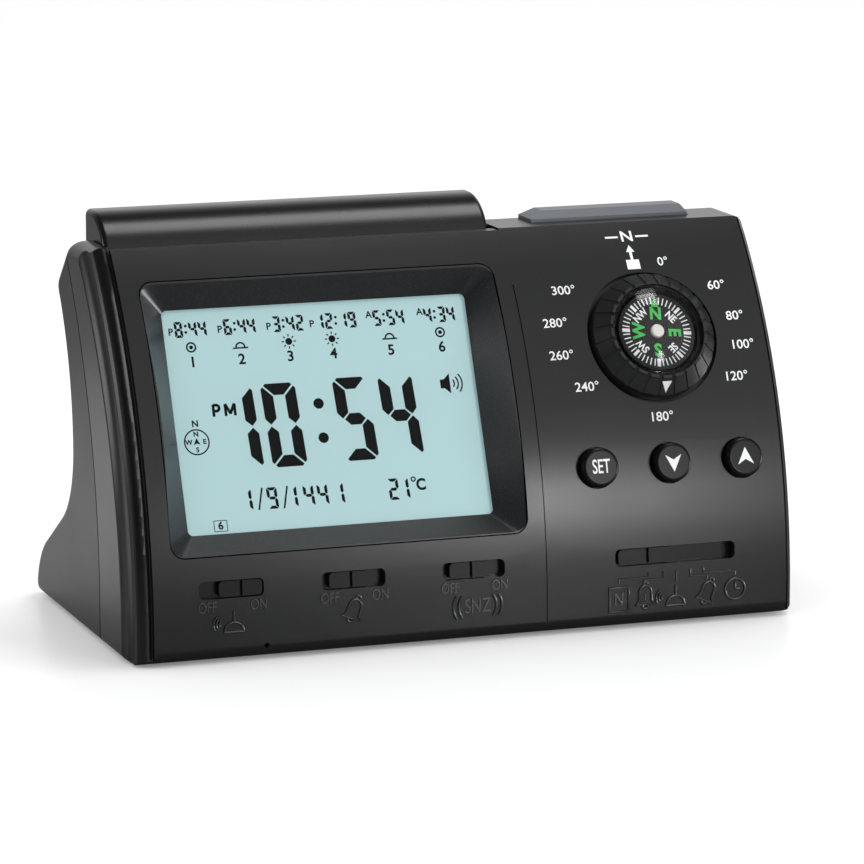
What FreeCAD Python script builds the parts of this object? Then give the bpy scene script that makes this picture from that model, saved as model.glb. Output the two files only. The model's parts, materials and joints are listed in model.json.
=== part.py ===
import FreeCAD, Part
import math
import os

import Sketcher
from FreeCAD import Placement, Rotation, Vector

# A table clock that leans back, with a large display, a compass dial and a press bar on top.
# Millimetres. +X runs to the right of someone reading the clock, -Y is the front, +Z is up.
# The origin is on the table, under the middle of the clock.

# Driving dimensions: heights are above the underside of the case, "back" is behind its foremost line,
# "drop" is below its top, and "in" is from the nearer side or end
SIZES = (
    ("case_width", 170.0),
    ("case_depth", 84.4),
    ("case_height", 93.7),
    ("wall", 2.2),
    ("foot_gap", 0.6),
    ("face_radius", 134.0),
    ("face_start", 4.2),
    ("toe_radius", 3.2),
    ("side_round", 1.2),
    ("top_corner", 4.5),
    ("low_corner_left", 2.0),
    ("low_corner_right", 4.4),
    ("top_depth", 48.0),
    ("top_round", 4.0),
    ("back_slope", 44.0),
    ("brow_radius", 3.0),
    ("waist_back", 49.8),
    ("waist_height", 43.0),
    ("waist_radius", 66.0),
    ("waist_sweep", 33.5),
    ("hollow_radius", 22.3),
    ("hollow_sweep", 59.0),
    ("shoulder_in", 9.8),
    ("shoulder_height", 15.5),
    ("heel_arc", 19.2),
    ("heel_radius", 3.0),
    ("heel_lean", 14.0),
    ("seam_back", 26.4),
    ("seam_start", 10.2),
    ("seam_gap", 0.6),
    ("column_left", 5.6),
    ("column_right", 3.2),
    ("column_back", 12.5),
    ("divider_in", 66.1),
    ("divider_width", 0.5),
    ("divider_depth", 0.3),
    ("divider_low", 2.6),
    ("divider_high", 81.3),
    ("ledge_drop", 0.4),
    ("screen_in", 55.0),
    ("screen_lean", 23.0),
    ("screen_height", 53.7),
    ("screen_back", 9.8),
    ("screen_wide", 76.6),
    ("screen_tall", 54.6),
    ("screen_round", 1.3),
    ("bezel_wide", 89.0),
    ("bezel_tall", 66.6),
    ("bezel_round", 3.4),
    ("bezel_rim", 0.6),
    ("bezel_rise", 4.8),
    ("bezel_skirt", 5.0),
    ("bezel_gap", 0.3),
    ("lens_thick", 1.0),
    ("glass_thick", 2.0),
    ("stack_wide", 84.0),
    ("stack_tall", 62.0),
    ("holder_thick", 1.5),
    ("strip_length", 80.0),
    ("strip_width", 2.0),
    ("strip_offset", 28.5),
    ("post_radius", 2.5),
    ("post_x", 47.7),
    ("post_up", 20.0),
    ("standoff_x", 36.0),
    ("board_thick", 1.6),
    ("board_wide", 87.0),
    ("board_tall", 62.0),
    ("board_drop", 10.6),
    ("screw_radius", 1.0),
    ("screw_head", 2.1),
    ("screw_head_thick", 1.2),
    ("screw_length", 5.0),
    ("switch_lean", 5.5),
    ("switch_pitch", 30.3),
    ("slot_wide", 16.0),
    ("slot_tall", 4.3),
    ("slot_round", 1.3),
    ("knob_wide", 10.6),
    ("knob_play", 0.3),
    ("knob_inset", 0.5),
    ("knob_groove", 0.9),
    ("switch_travel", 3.0),
    ("shutter_margin", 1.0),
    ("shutter_thick", 0.8),
    ("mode_in", 32.5),
    ("mode_slot_wide", 31.4),
    ("mode_knob_wide", 14.9),
    ("mode_travel", 14.4),
    ("switch_body_wide", 13.0),
    ("mode_body_wide", 32.0),
    ("switch_body_tall", 5.6),
    ("switch_body_deep", 3.9),
    ("stem", 2.0),
    ("switch_board_low", 10.5),
    ("switch_board_high", 2.8),
    ("panel_in", 32.7),
    ("button_lean", 15.0),
    ("button_pitch", 18.9),
    ("button_hole", 5.1),
    ("button_radius", 4.75),
    ("button_rise", 2.9),
    ("button_round", 0.9),
    ("button_flange", 6.0),
    ("button_travel", 0.8),
    ("tact_wide", 6.0),
    ("tact_tall", 3.5),
    ("tact_hole", 1.9),
    ("tact_hole_deep", 1.7),
    ("plunger_radius", 1.5),
    ("dial_lean", 28.5),
    ("dial_well", 16.8),
    ("dial_well_deep", 2.8),
    ("dial_radius", 15.6),
    ("dial_edge", 1.3),
    ("dial_rim", 4.85),
    ("dial_rim_wide", 0.9),
    ("dial_notches", 24),
    ("notch_deep", 0.35),
    ("notch_wide", 1.0),
    ("cup_radius", 11.6),
    ("cup_wall", 0.8),
    ("cup_deep", 7.2),
    ("cup_top", 3.2),
    ("cup_flange", 15.2),
    ("cup_screw_head", 1.7),
    ("crystal_rise", 3.4),
    ("crystal_thick", 0.9),
    ("card_radius", 9.8),
    ("card_height", 3.2),
    ("hub_radius", 1.7),
    ("running", 0.1),
    ("bar_left_in", 5.5),
    ("bar_right_in", 66.7),
    ("bar_front", 39.0),
    ("bar_crown", 51.5),
    ("bar_rear", 55.8),
    ("bar_rise", 6.8),
    ("bar_radius", 14.0),
    ("bar_rear_round", 1.8),
    ("bar_edge", 1.3),
    ("bar_wall", 1.6),
    ("bar_drop", 3.2),
    ("bar_opening_gap", 0.5),
    ("bar_opening_front", 2.0),
    ("bar_opening_round", 1.0),
    ("bar_press_in", 77.0),
    ("bar_press_back", 45.0),
    ("pivot_in", 2.6),
    ("pivot_drop", 6.9),
    ("rod_radius", 1.0),
    ("key_left_in", 55.4),
    ("key_right_in", 14.0),
    ("key_front", 39.8),
    ("key_rear", 48.8),
    ("key_rise", 2.6),
    ("key_bevel_end", 3.4),
    ("key_bevel_far", 1.3),
    ("key_bevel_side", 1.9),
    ("key_bevel_rise", 1.8),
    ("key_gap", 0.6),
    ("key_travel", 0.8),
    ("top_board_drop", 11.5),
    ("speaker_in", 43.0),
    ("speaker_height", 57.0),
    ("speaker_radius", 25.0),
    ("grille_radius", 20.0),
    ("grille_slot", 2.0),
    ("grille_pitch", 4.4),
    ("bay_in", 51.0),
    ("bay_wide", 58.0),
    ("cell_radius", 7.2),
    ("cell_length", 50.5),
    ("cell_in", 33.8),
    ("cell_pitch", 15.1),
    ("cell_height", 9.5),
    ("door_wide", 54.0),
    ("door_in", 40.0),
    ("door_plate", 0.9),
    ("door_lip", 1.2),
    ("door_gap", 0.3),
    ("foot_radius", 5.0),
    ("foot_pocket", 1.0),
    ("foot_side_in", 15.0),
    ("foot_front_in", 10.0),
    ("foot_rear_in", 11.4),
    ("case_screw_radius", 1.4),
    ("case_screw_head", 2.7),
    ("case_screw_in", 7.0),
    ("case_screw_height", 62.0),
    ("floor_screw_in", 15.0),
    ("floor_screw_back", 33.0),
    ("pinhole_in", 33.2),
    ("pinhole_height", 2.9),
)

doc = FreeCAD.newDocument("leaning_clock")
sheet = doc.addObject("Spreadsheet::Sheet", "Sizes")
worked = doc.addObject("Spreadsheet::Sheet", "Worked")
PARTS = []


class Size:
    """A dimension: its value now, and the expression that gives it from the sheets."""

    def __init__(self, value, text):
        self.value = float(value)
        self.text = text

    def __add__(self, other):
        other = size(other)
        return Size(self.value + other.value, "(%s + %s)" % (self.text, other.text))

    def __sub__(self, other):
        other = size(other)
        return Size(self.value - other.value, "(%s - %s)" % (self.text, other.text))

    def __mul__(self, other):
        other = size(other)
        return Size(self.value * other.value, "(%s * %s)" % (self.text, other.text))

    def __truediv__(self, other):
        other = size(other)
        return Size(self.value / other.value, "(%s / %s)" % (self.text, other.text))

    def __radd__(self, other):
        return size(other) + self

    def __rsub__(self, other):
        return size(other) - self

    def __rmul__(self, other):
        return size(other) * self

    def __neg__(self):
        return Size(-self.value, "(0 - %s)" % self.text)


def size(value):
    return value if isinstance(value, Size) else Size(value, "%.6g" % value)


def sine(angle):
    return Size(math.sin(math.radians(angle.value)), "sin(%s)" % angle.text)


def cosine(angle):
    return Size(math.cos(math.radians(angle.value)), "cos(%s)" % angle.text)


def root(square):
    return Size(math.sqrt(square.value), "sqrt(%s)" % square.text)


def read_sheet():
    """Fill the sheet and give every driving dimension by name."""
    sizes = {}
    for row, (name, value) in enumerate(SIZES, 1):
        sheet.set("A%d" % row, name)
        sheet.set("B%d" % row, "%g" % value)
        sheet.setAlias("B%d" % row, name)
        sizes[name] = Size(value, "Sizes.%s" % name)
    return sizes


S = read_sheet()
worked_rows = []


def work_out(name, value):
    """Keep a worked-out dimension in the second sheet, so that expressions stay short."""
    worked_rows.append(name)
    cell = "B%d" % len(worked_rows)
    worked.set("A%d" % len(worked_rows), name)
    worked.set(cell, "=" + value.text.replace("Worked.", ""))
    worked.setAlias(cell, name)
    return Size(value.value, "Worked.%s" % name)


# Places that several pieces share
front = work_out("front_line", -S["case_depth"] / 2)
rear = work_out("rear_line", S["case_depth"] / 2)
base = S["foot_gap"]
half_width = S["case_width"] / 2
face_centre_y = work_out("face_centre_back", front + S["face_radius"])
face_centre_z = work_out("face_centre_height", base + S["face_start"])
top = work_out("case_top", base + S["case_height"])
top_board_z = work_out("top_board_level", top - S["top_board_drop"])

# Places across, each from the nearer side of the case
screen_x = work_out("screen_across", S["screen_in"] - half_width)
bay_x = work_out("bay_across", S["bay_in"] - half_width)
pinhole_x = work_out("pinhole_across", S["pinhole_in"] - half_width)
bar_left = work_out("bar_left_end", S["bar_left_in"] - half_width)
bar_right = work_out("bar_right_end", half_width - S["bar_right_in"])
bar_press_x = work_out("bar_press_across", half_width - S["bar_press_in"])
divider_x = work_out("divider_across", half_width - S["divider_in"])
panel_x = work_out("panel_across", half_width - S["panel_in"])
mode_x = work_out("mode_across", half_width - S["mode_in"])
key_left = work_out("key_left_end", half_width - S["key_left_in"])
key_right = work_out("key_right_end", half_width - S["key_right_in"])
speaker_x = work_out("speaker_across", half_width - S["speaker_in"])
foot_x = half_width - S["foot_side_in"]
case_screw_x = half_width - S["case_screw_in"]
floor_screw_x = half_width - S["floor_screw_in"]


def back(distance):
    return front + distance


def high(distance):
    return base + distance


def face_at(height):
    """Where the curved face is at a height, as a Y place."""
    return face_centre_y - root(S["face_radius"] * S["face_radius"]
                                - (height - face_centre_z) * (height - face_centre_z))


class Frame:
    """A working plane that leans back: across is X, up runs along it, out leaves it."""

    def __init__(self, x, y, z, lean):
        self.x = size(x)
        self.y = size(y)
        self.z = size(z)
        self.lean = size(lean)

    def point(self, across, up, out):
        y = self.y + size(up) * sine(self.lean) - size(out) * cosine(self.lean)
        z = self.z + size(up) * cosine(self.lean) + size(out) * sine(self.lean)
        return self.x + across, y, z

    def place(self, thing, across, up, out):
        """Set a thing's origin on a point of this plane, with its Z along out."""
        x, y, z = self.point(across, up, out)
        turn = 90.0 - self.lean.value
        thing.Placement = Placement(Vector(x.value, y.value, z.value), Rotation(Vector(1, 0, 0), turn))
        thing.setExpression("Placement.Base.x", x.text)
        thing.setExpression("Placement.Base.y", y.text)
        thing.setExpression("Placement.Base.z", z.text)
        if abs(turn) > 1e-9:
            thing.setExpression("Placement.Rotation.Angle", "90 - %s" % self.lean.text)


def on_face(name, x, lean):
    """The frame that touches the curved face where it leans by this much."""
    y = work_out(name + "_back", face_centre_y - S["face_radius"] * cosine(lean))
    z = work_out(name + "_height", face_centre_z + S["face_radius"] * sine(lean))
    return Frame(x, y, z, lean)


room = Frame(0, 0, 0, 90.0)
rearward = Frame(0, 0, 0, 180.0)
dial = on_face("dial", panel_x, S["dial_lean"])
buttons = on_face("buttons", panel_x, S["button_lean"])
switches = on_face("switches", size(0), S["switch_lean"])
screen_z = work_out("screen_level", high(S["screen_height"]))
screen_y = work_out("screen_place", face_at(screen_z) + S["screen_back"])
screen = Frame(screen_x, screen_y, screen_z, S["screen_lean"])


def bind(thing, prop, value):
    value = size(value)
    setattr(thing, prop, value.value)
    thing.setExpression(prop, value.text)


def block(name, frame, low, top_corner):
    """A box between two corners of a frame."""
    thing = doc.addObject("Part::Box", name)
    for prop, start, end in zip(("Length", "Width", "Height"), low, top_corner):
        bind(thing, prop, size(end) - start)
    frame.place(thing, *low)
    return thing


def rod(name, frame, across, up, radius, low, end):
    """A cylinder that stands on a frame, along its out direction."""
    thing = doc.addObject("Part::Cylinder", name)
    bind(thing, "Radius", radius)
    bind(thing, "Height", size(end) - low)
    frame.place(thing, across, up, low)
    return thing


def taper(name, frame, across, up, low_radius, end_radius, low, end):
    thing = doc.addObject("Part::Cone", name)
    bind(thing, "Radius1", low_radius)
    bind(thing, "Radius2", end_radius)
    bind(thing, "Height", size(end) - low)
    frame.place(thing, across, up, low)
    return thing


def cross_rod(name, left, right, y, z, radius):
    """A cylinder along X."""
    thing = doc.addObject("Part::Cylinder", name)
    bind(thing, "Radius", radius)
    bind(thing, "Height", size(right) - left)
    thing.Placement = Placement(Vector(size(left).value, y.value, z.value), Rotation(Vector(0, 1, 0), 90))
    thing.setExpression("Placement.Base.x", size(left).text)
    thing.setExpression("Placement.Base.y", y.text)
    thing.setExpression("Placement.Base.z", z.text)
    return thing


def cut(name, solid, *tools):
    thing = doc.addObject("Part::Cut", name)
    thing.Base = solid
    thing.Tool = tools[0] if len(tools) == 1 else fuse(name + "_tools", *tools)
    return thing


def fuse(name, *pieces):
    thing = doc.addObject("Part::MultiFuse", name)
    thing.Shapes = list(pieces)
    return thing


def common(name, *pieces):
    thing = doc.addObject("Part::MultiCommon", name)
    thing.Shapes = list(pieces)
    return thing


def group(name, pieces):
    thing = doc.addObject("Part::Compound", name)
    thing.Links = list(pieces)
    return thing


def keep(label, thing):
    """Name a finished sub-part."""
    thing.Label = label
    PARTS.append(thing)
    return thing


def draw(sketch, outline):
    """Draw a closed outline of corners (x, y), with a radius where an arc leads to the corner.

    A positive radius turns left on the way to the corner, a negative one turns right.
    """
    corners = [tuple(size(value) for value in corner) for corner in outline]
    ends = []
    for index, corner in enumerate(corners):
        start = corners[index - 1]
        a = Vector(start[0].value, start[1].value, 0)
        b = Vector(corner[0].value, corner[1].value, 0)
        if len(corner) == 2:
            sketch.addGeometry(Part.LineSegment(a, b), False)
            ends.append((1, 2))
            continue
        radius = abs(corner[2].value)
        side = 1.0 if corner[2].value > 0 else -1.0
        chord = b - a
        middle = (a + b) * 0.5
        reach = math.sqrt(max(radius ** 2 - chord.Length ** 2 / 4, 0.0))
        left = Vector(-chord.y, chord.x, 0).normalize()
        centre = middle + left * (reach * side)
        first, last = (a, b) if side > 0 else (b, a)
        angles = [math.atan2(p.y - centre.y, p.x - centre.x) for p in (first, last)]
        circle = Part.Circle(centre, Vector(0, 0, 1), radius)
        sketch.addGeometry(Part.ArcOfCircle(circle, angles[0], angles[1]), False)
        ends.append((1, 2) if side > 0 else (2, 1))
    for index, corner in enumerate(corners):
        after = (index + 1) % len(corners)
        sketch.addConstraint(Sketcher.Constraint("Coincident", index, ends[index][1], after, ends[after][0]))
        for kind, value in zip(("DistanceX", "DistanceY"), corner):
            at = sketch.addConstraint(Sketcher.Constraint(kind, -1, 1, index, ends[index][1], value.value))
            sketch.setExpression("Constraints[%d]" % at, value.text)
        if len(corner) == 3:
            at = sketch.addConstraint(Sketcher.Constraint("Radius", index, abs(corner[2].value)))
            sketch.setExpression("Constraints[%d]" % at, "abs(%s)" % corner[2].text)


def body_sketch(name, plane, outline):
    """A body with one sketch on one of its own origin planes."""
    body = doc.addObject("PartDesign::Body", name)
    sketch = body.newObject("Sketcher::SketchObject", name + "_sketch")
    planes = {feature.Role: feature for feature in body.Origin.OriginFeatures}
    sketch.AttachmentSupport = [(planes[plane], "")]
    sketch.MapMode = "FlatFace"
    draw(sketch, outline)
    return body, sketch


def plate(name, frame, outline, low, end):
    """A padded outline that stands on a frame."""
    body, sketch = body_sketch(name, "XY_Plane", outline)
    pad = body.newObject("PartDesign::Pad", name + "_pad")
    pad.Profile = sketch
    bind(pad, "Length", size(end) - low)
    frame.place(body, 0, 0, low)
    return body


def turned(name, frame, outline, across=0, up=0):
    """A piece turned about a frame's out direction, from an outline of (radius, out) corners."""
    body, sketch = body_sketch(name, "XZ_Plane", outline)
    turn = body.newObject("PartDesign::Revolution", name + "_turn")
    turn.Profile = sketch
    turn.ReferenceAxis = (sketch, ["V_Axis"])
    turn.Angle = 360.0
    frame.place(body, across, up, 0)
    return body


def section(name, outline):
    """A free-standing sketch in the YZ plane."""
    sketch = doc.addObject("Sketcher::SketchObject", name)
    sketch.Placement = Placement(Vector(0, 0, 0), Rotation(Vector(1, 1, 1), 120))
    draw(sketch, outline)
    return sketch


def extrude(name, source, left, right):
    """A YZ section carried along X."""
    thing = doc.addObject("Part::Extrusion", name)
    thing.Base = source
    thing.DirMode = "Custom"
    thing.Dir = Vector(1, 0, 0)
    thing.Solid = True
    bind(thing, "LengthFwd", right)
    bind(thing, "LengthRev", -size(left))
    return thing


def rounded(wide, tall, radius, x=0, y=0):
    """The outline of a rounded rectangle about a point, anticlockwise."""
    w, t, r = size(wide) / 2, size(tall) / 2, size(radius)
    x, y = size(x), size(y)
    return [(x + w - r, y - t), (x + w, y - t + r, r), (x + w, y + t - r), (x + w - r, y + t, r),
            (x - w + r, y + t), (x - w, y + t - r, r), (x - w, y - t + r), (x - w + r, y - t, r)]


def screw(name, frame, across, up, seat, radius, head, head_thick, length):
    """A cross-head screw whose head sits on a seat and points out, with its shank going in."""
    shank = rod(name + "_shank", frame, across, up, radius, seat - size(length), seat + 0.05)
    cap = taper(name + "_head", frame, across, up, head, size(head) - 0.5, seat, seat + size(head_thick))
    arms = [block(name + "_slot_a", frame, (across - size(0.3), up - size(head) * 0.6,
                                            seat + size(head_thick) - 0.6),
                  (across + size(0.3), up + size(head) * 0.6, seat + size(head_thick) + 0.1)),
            block(name + "_slot_b", frame, (across - size(head) * 0.6, up - size(0.3),
                                            seat + size(head_thick) - 0.6),
                  (across + size(head) * 0.6, up + size(0.3), seat + size(head_thick) + 0.1))]
    return cut(name, fuse(name + "_blank", shank, cap), *arms)


# Case outline

def case_outline():
    """The side view of the case, clockwise from the toe."""
    waist_y = back(S["waist_back"])
    waist_z = high(S["waist_height"])
    brow_end = (waist_y + S["waist_radius"] * (1 - cosine(S["waist_sweep"])),
                waist_z + S["waist_radius"] * sine(S["waist_sweep"]))
    brow_y = brow_end[0] - S["brow_radius"] * cosine(S["waist_sweep"])
    brow_z = brow_end[1] + S["brow_radius"] * sine(S["waist_sweep"])
    hollow_y = waist_y + S["hollow_radius"] * (1 - cosine(S["hollow_sweep"]))
    hollow_z = waist_z - S["hollow_radius"] * sine(S["hollow_sweep"])
    heel_y = rear - S["heel_radius"]
    heel_z = high(S["heel_radius"])
    return [
        (back(S["toe_radius"]), base),
        (front, high(S["toe_radius"]), -S["toe_radius"]),
        (front, face_centre_z),
        (face_at(top), top, -S["face_radius"]),
        (back(S["top_depth"]), top),
        (back(S["top_depth"]) + S["top_round"] * sine(S["back_slope"]),
         top - S["top_round"] * (1 - cosine(S["back_slope"])), -S["top_round"]),
        (brow_y + S["brow_radius"] * sine(S["back_slope"]),
         brow_z + S["brow_radius"] * cosine(S["back_slope"])),
        (brow_end[0], brow_end[1], -S["brow_radius"]),
        (waist_y, waist_z, S["waist_radius"]),
        (hollow_y, hollow_z, S["hollow_radius"]),
        (rear - S["shoulder_in"], high(S["shoulder_height"])),
        (heel_y + S["heel_radius"] * cosine(S["heel_lean"]),
         heel_z + S["heel_radius"] * sine(S["heel_lean"]), -S["heel_arc"]),
        (heel_y, base, -S["heel_radius"]),
    ]


def column_outline(side, wide):
    """Everything outside the fluted front corner, in plan, at the height where the face starts to curve."""
    wall_x = half_width * side

    def at(inward, behind):
        return wall_x - side * size(inward), front + behind

    turn = -side
    return [
        at(-1.0, S["column_back"]),
        at(0, S["column_back"]),
        at(0.15, 8.0) + (size(turn * 7.0),),
        at(wide * 0.27, 3.1) + (size(-turn * 6.0),),
        at(wide * 0.36, 2.2),
        at(wide * 0.79, 0.5) + (size(-turn * 3.0),),
        at(wide * 0.93, 1.0),
        at(wide, 1.0),
        at(wide, -1.0),
        at(-1.0, -1.0),
    ]


def column_cutter(name, side, wide):
    """Cuts one fluted corner: turned about the face's centre, and straight down to the toe."""
    sketch = doc.addObject("Sketcher::SketchObject", name + "_plan")
    draw(sketch, column_outline(side, wide))
    sketch.Placement.Base.z = face_centre_z.value
    sketch.setExpression("Placement.Base.z", face_centre_z.text)
    turn = doc.addObject("Part::Revolution", name + "_turn")
    turn.Source = sketch
    turn.Axis = Vector(-1, 0, 0)
    turn.Base = Vector(0, face_centre_y.value, face_centre_z.value)
    turn.setExpression("Base.y", face_centre_y.text)
    turn.setExpression("Base.z", face_centre_z.text)
    turn.Angle = 55.0
    turn.Solid = True
    drop = doc.addObject("Part::Extrusion", name + "_drop")
    drop.Base = sketch
    drop.DirMode = "Custom"
    drop.Dir = Vector(0, 0, -1)
    drop.Solid = True
    bind(drop, "LengthFwd", S["face_start"] + 2.0)
    return fuse(name, turn, drop)


def corner_cutter(name, side, r, level, above):
    """Rounds a corner of the case, seen from the front; above tells a top corner from a bottom one."""
    reach = 2.0
    inner = half_width * side - side * r
    outer = half_width * side + side * size(reach)
    low, end = (inner, outer) if side > 0 else (outer, inner)
    middle = level - r * above
    foot, head = (middle, level + reach) if above > 0 else (level - reach, middle)
    corner = block(name + "_block", room, (low, back(-2.0), foot), (end, rear + 2.0, head))
    return cut(name, corner, rod(name + "_rod", rearward, inner, -middle, r, back(-3.0), rear + 3.0))


outline = section("case_section", case_outline())
doc.recompute()
case_bulk = extrude("case_bulk", outline, -half_width, half_width)
doc.recompute()


def side_edges(shape):
    """The numbers of the edges round both ends of the case."""
    chosen = []
    for number, edge in enumerate(shape.Edges, 1):
        if all(abs(abs(vertex.X) - half_width.value) < 1e-6 for vertex in edge.Vertexes):
            if edge.Vertexes[0].X * edge.Vertexes[-1].X > 0:
                chosen.append(number)
    return chosen


case_soft = doc.addObject("Part::Fillet", "case_soft")
case_soft.Base = case_bulk
case_soft.Edges = [(number, S["side_round"].value, S["side_round"].value)
                   for number in side_edges(case_bulk.Shape)]
columns = [column_cutter("left_column", -1, S["column_left"]),
           column_cutter("right_column", 1, S["column_right"])]
corners = [corner_cutter("left_top", -1, S["top_corner"], top, 1),
           corner_cutter("right_top", 1, S["top_corner"], top, 1),
           corner_cutter("left_foot", -1, S["low_corner_left"], base, -1),
           corner_cutter("right_foot", 1, S["low_corner_right"], base, -1)]
case_blank = cut("case_blank", case_soft, *(columns + corners))
cavity_section = doc.addObject("Part::Offset2D", "cavity_section")
cavity_section.Source = outline
cavity_section.Join = 0
cavity_section.Value = -S["wall"].value
cavity_section.setExpression("Value", "-Sizes.wall")


def column_core(name, side, wide):
    """Solid plastic left behind a fluted corner, where the flutes would pierce the wall."""
    inner = (half_width - wide - 1.0) * side
    outer = half_width * side
    low, end = (inner, outer) if side > 0 else (outer, inner)
    slab = block(name + "_slab", room, (low, back(-1.0), base), (end, back(45.0), top + 1.0))
    behind = cross_rod(name + "_behind", -half_width, half_width, face_centre_y, face_centre_z,
                       S["face_radius"] - S["wall"] * 2)
    below = block(name + "_below", room, (-half_width, back(S["wall"] * 2), base - 1.0),
                  (half_width, back(60.0), face_centre_z))
    return cut(name, slab, behind, below)


cavity = cut("cavity", extrude("cavity_bulk", cavity_section, -(half_width - S["wall"]),
                               half_width - S["wall"]),
             column_core("left_core", -1, S["column_left"]), column_core("right_core", 1, S["column_right"]))


def seam_section(name, shift, far):
    """Everything between the seam of the two shells and a far line."""
    seam_y = back(S["seam_back"] + shift)
    seam_z = high(S["seam_start"])
    end_z = top + 8.0
    rise = end_z - seam_z
    end_y = seam_y + S["face_radius"] - root(S["face_radius"] * S["face_radius"] - rise * rise)
    return section(name, [
        (seam_y, base - 5.0),
        (seam_y, seam_z),
        (end_y, end_z, -S["face_radius"]),
        (far, end_z),
        (far, base - 5.0),
    ])


wide_cut = half_width + 10.0
front_region = extrude("front_region", seam_section("seam_front_edge", size(0), back(-40.0)), -wide_cut,
                       wide_cut)
rear_region = extrude("rear_region", seam_section("seam_rear_edge", S["seam_gap"], back(120.0)), -wide_cut,
                      wide_cut)

# Openings that both shells share
bar_opening = plate(
    "bar_opening", room,
    rounded(bar_right - bar_left + S["bar_opening_gap"] * 2,
            S["bar_rear"] - S["bar_front"] + S["bar_opening_front"] + S["bar_opening_gap"],
            S["bar_opening_round"],
            (bar_right + bar_left) / 2,
            back((S["bar_rear"] + S["bar_front"] + S["bar_opening_gap"] - S["bar_opening_front"]) / 2)),
    high(S["case_height"] - 10.5), top + 2.0)


# Front shell

def display_posts():
    return [(x, up) for x in (-S["post_x"], S["post_x"]) for up in (-S["post_up"], S["post_up"])]


def switch_places():
    """Across places of the three two-way slots and how far each knob stands from its left stop."""
    return [(screen_x - S["switch_pitch"], 1), (screen_x, 0), (screen_x + S["switch_pitch"], 0)]


SWITCH_POSTS = ((screen_x - 15.2, -7.5), (screen_x + 48.6, -7.5), (mode_x + 17.5, -7.5))
BUTTON_POSTS = ((-9.45, 0.0), (9.45, 0.0))
TOP_POSTS = ((key_left - 5.3, 43.0), (key_right + 5.2, 43.0))
ear_low = -S["bezel_skirt"]
ear_high = ear_low + 1.6
switch_board_out = -(S["wall"] + 0.3 + S["shutter_thick"] + 0.6 + S["switch_body_deep"])
button_board_out = -(S["wall"] + 7.4)
dial_boss_low = -(S["dial_well_deep"] + S["wall"])


def cup_screws():
    """Three screws through the flange of the compass cup."""
    ring = (S["cup_radius"] + S["cup_flange"]) / 2
    return [(ring * cosine(size(angle)), ring * sine(size(angle))) for angle in (90, 210, 330)]


def speaker_screws():
    """Four screws just outside the rim of the speaker, whose heads hold it down."""
    ring = S["speaker_radius"] + S["screw_radius"] + 0.4
    return [(ring * cosine(size(angle)), ring * sine(size(angle))) for angle in (45, 135, 225, 315)]


def front_posts():
    """Posts behind the face that carry the display, the boards and the rear shell."""
    posts = []
    for number, (x, up) in enumerate(display_posts()):
        posts.append(rod("display_post_%d" % number, screen, x, up, S["post_radius"], ear_high, 16.0))
    for number, (x, up) in enumerate(SWITCH_POSTS):
        posts.append(rod("switch_post_%d" % number, switches, x, up, S["post_radius"] - 0.2,
                         switch_board_out, 2.0))
    for number, (x, up) in enumerate(BUTTON_POSTS):
        posts.append(rod("button_post_%d" % number, buttons, x, up, S["post_radius"] - 0.2, button_board_out,
                         2.0))
    for number, (x, y) in enumerate(TOP_POSTS):
        posts.append(rod("top_post_%d" % number, room, x, back(y), S["post_radius"],
                         top_board_z + S["board_thick"], top))
    for number, x in enumerate((-case_screw_x, case_screw_x)):
        posts.append(rod("case_post_%d" % number, rearward, x, -high(S["case_screw_height"]), 3.2,
                         back(8.0), back(38.0)))
    posts.append(rod("dial_boss", dial, 0, 0, S["dial_well"] + 2.0, dial_boss_low, 6.0))
    for number, x in enumerate((-floor_screw_x, floor_screw_x)):
        posts.append(block("floor_tab_%d" % number, room,
                           (x - 6.0, back(S["floor_screw_back"] - 12.0), high(S["wall"] + 0.1)),
                           (x + 6.0, back(S["floor_screw_back"] + 5.0), high(9.0))))
        posts.append(block("floor_root_%d" % number, room,
                           (x - 6.0, back(S["floor_screw_back"] - 12.0), high(1.0)),
                           (x + 6.0, back(S["seam_back"] - 0.3), high(5.0))))
    return posts


def front_bores():
    """Pilot holes of the same posts, each the size of its screw."""
    bores = []
    pilot = S["screw_radius"] + 0.03
    for number, (x, up) in enumerate(display_posts()):
        bores.append(rod("display_bore_%d" % number, screen, x, up, pilot, ear_high - 0.1, ear_high + 4.0))
    for number, (x, up) in enumerate(SWITCH_POSTS):
        bores.append(rod("switch_bore_%d" % number, switches, x, up, pilot, switch_board_out - 0.1,
                         switch_board_out + 4.2))
    for number, (x, up) in enumerate(BUTTON_POSTS):
        bores.append(rod("button_bore_%d" % number, buttons, x, up, pilot, button_board_out - 0.1,
                         button_board_out + 4.2))
    for number, (x, y) in enumerate(TOP_POSTS):
        low = top_board_z + S["board_thick"]
        bores.append(rod("top_bore_%d" % number, room, x, back(y), pilot, low - 0.1, low + 4.2))
    for number, (x, up) in enumerate(cup_screws()):
        bores.append(rod("dial_bore_%d" % number, dial, x, up, pilot, dial_boss_low - 0.1,
                         dial_boss_low + 1.9))
    for number, x in enumerate((-case_screw_x, case_screw_x)):
        bores.append(rod("case_bore_%d" % number, rearward, x, -high(S["case_screw_height"]),
                         S["case_screw_radius"] + 0.03, back(27.5), back(38.5)))
    for number, x in enumerate((-floor_screw_x, floor_screw_x)):
        bores.append(rod("floor_bore_%d" % number, room, x, back(S["floor_screw_back"]),
                         S["case_screw_radius"] + 0.03, high(2.0), high(8.2)))
    return bores


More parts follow.
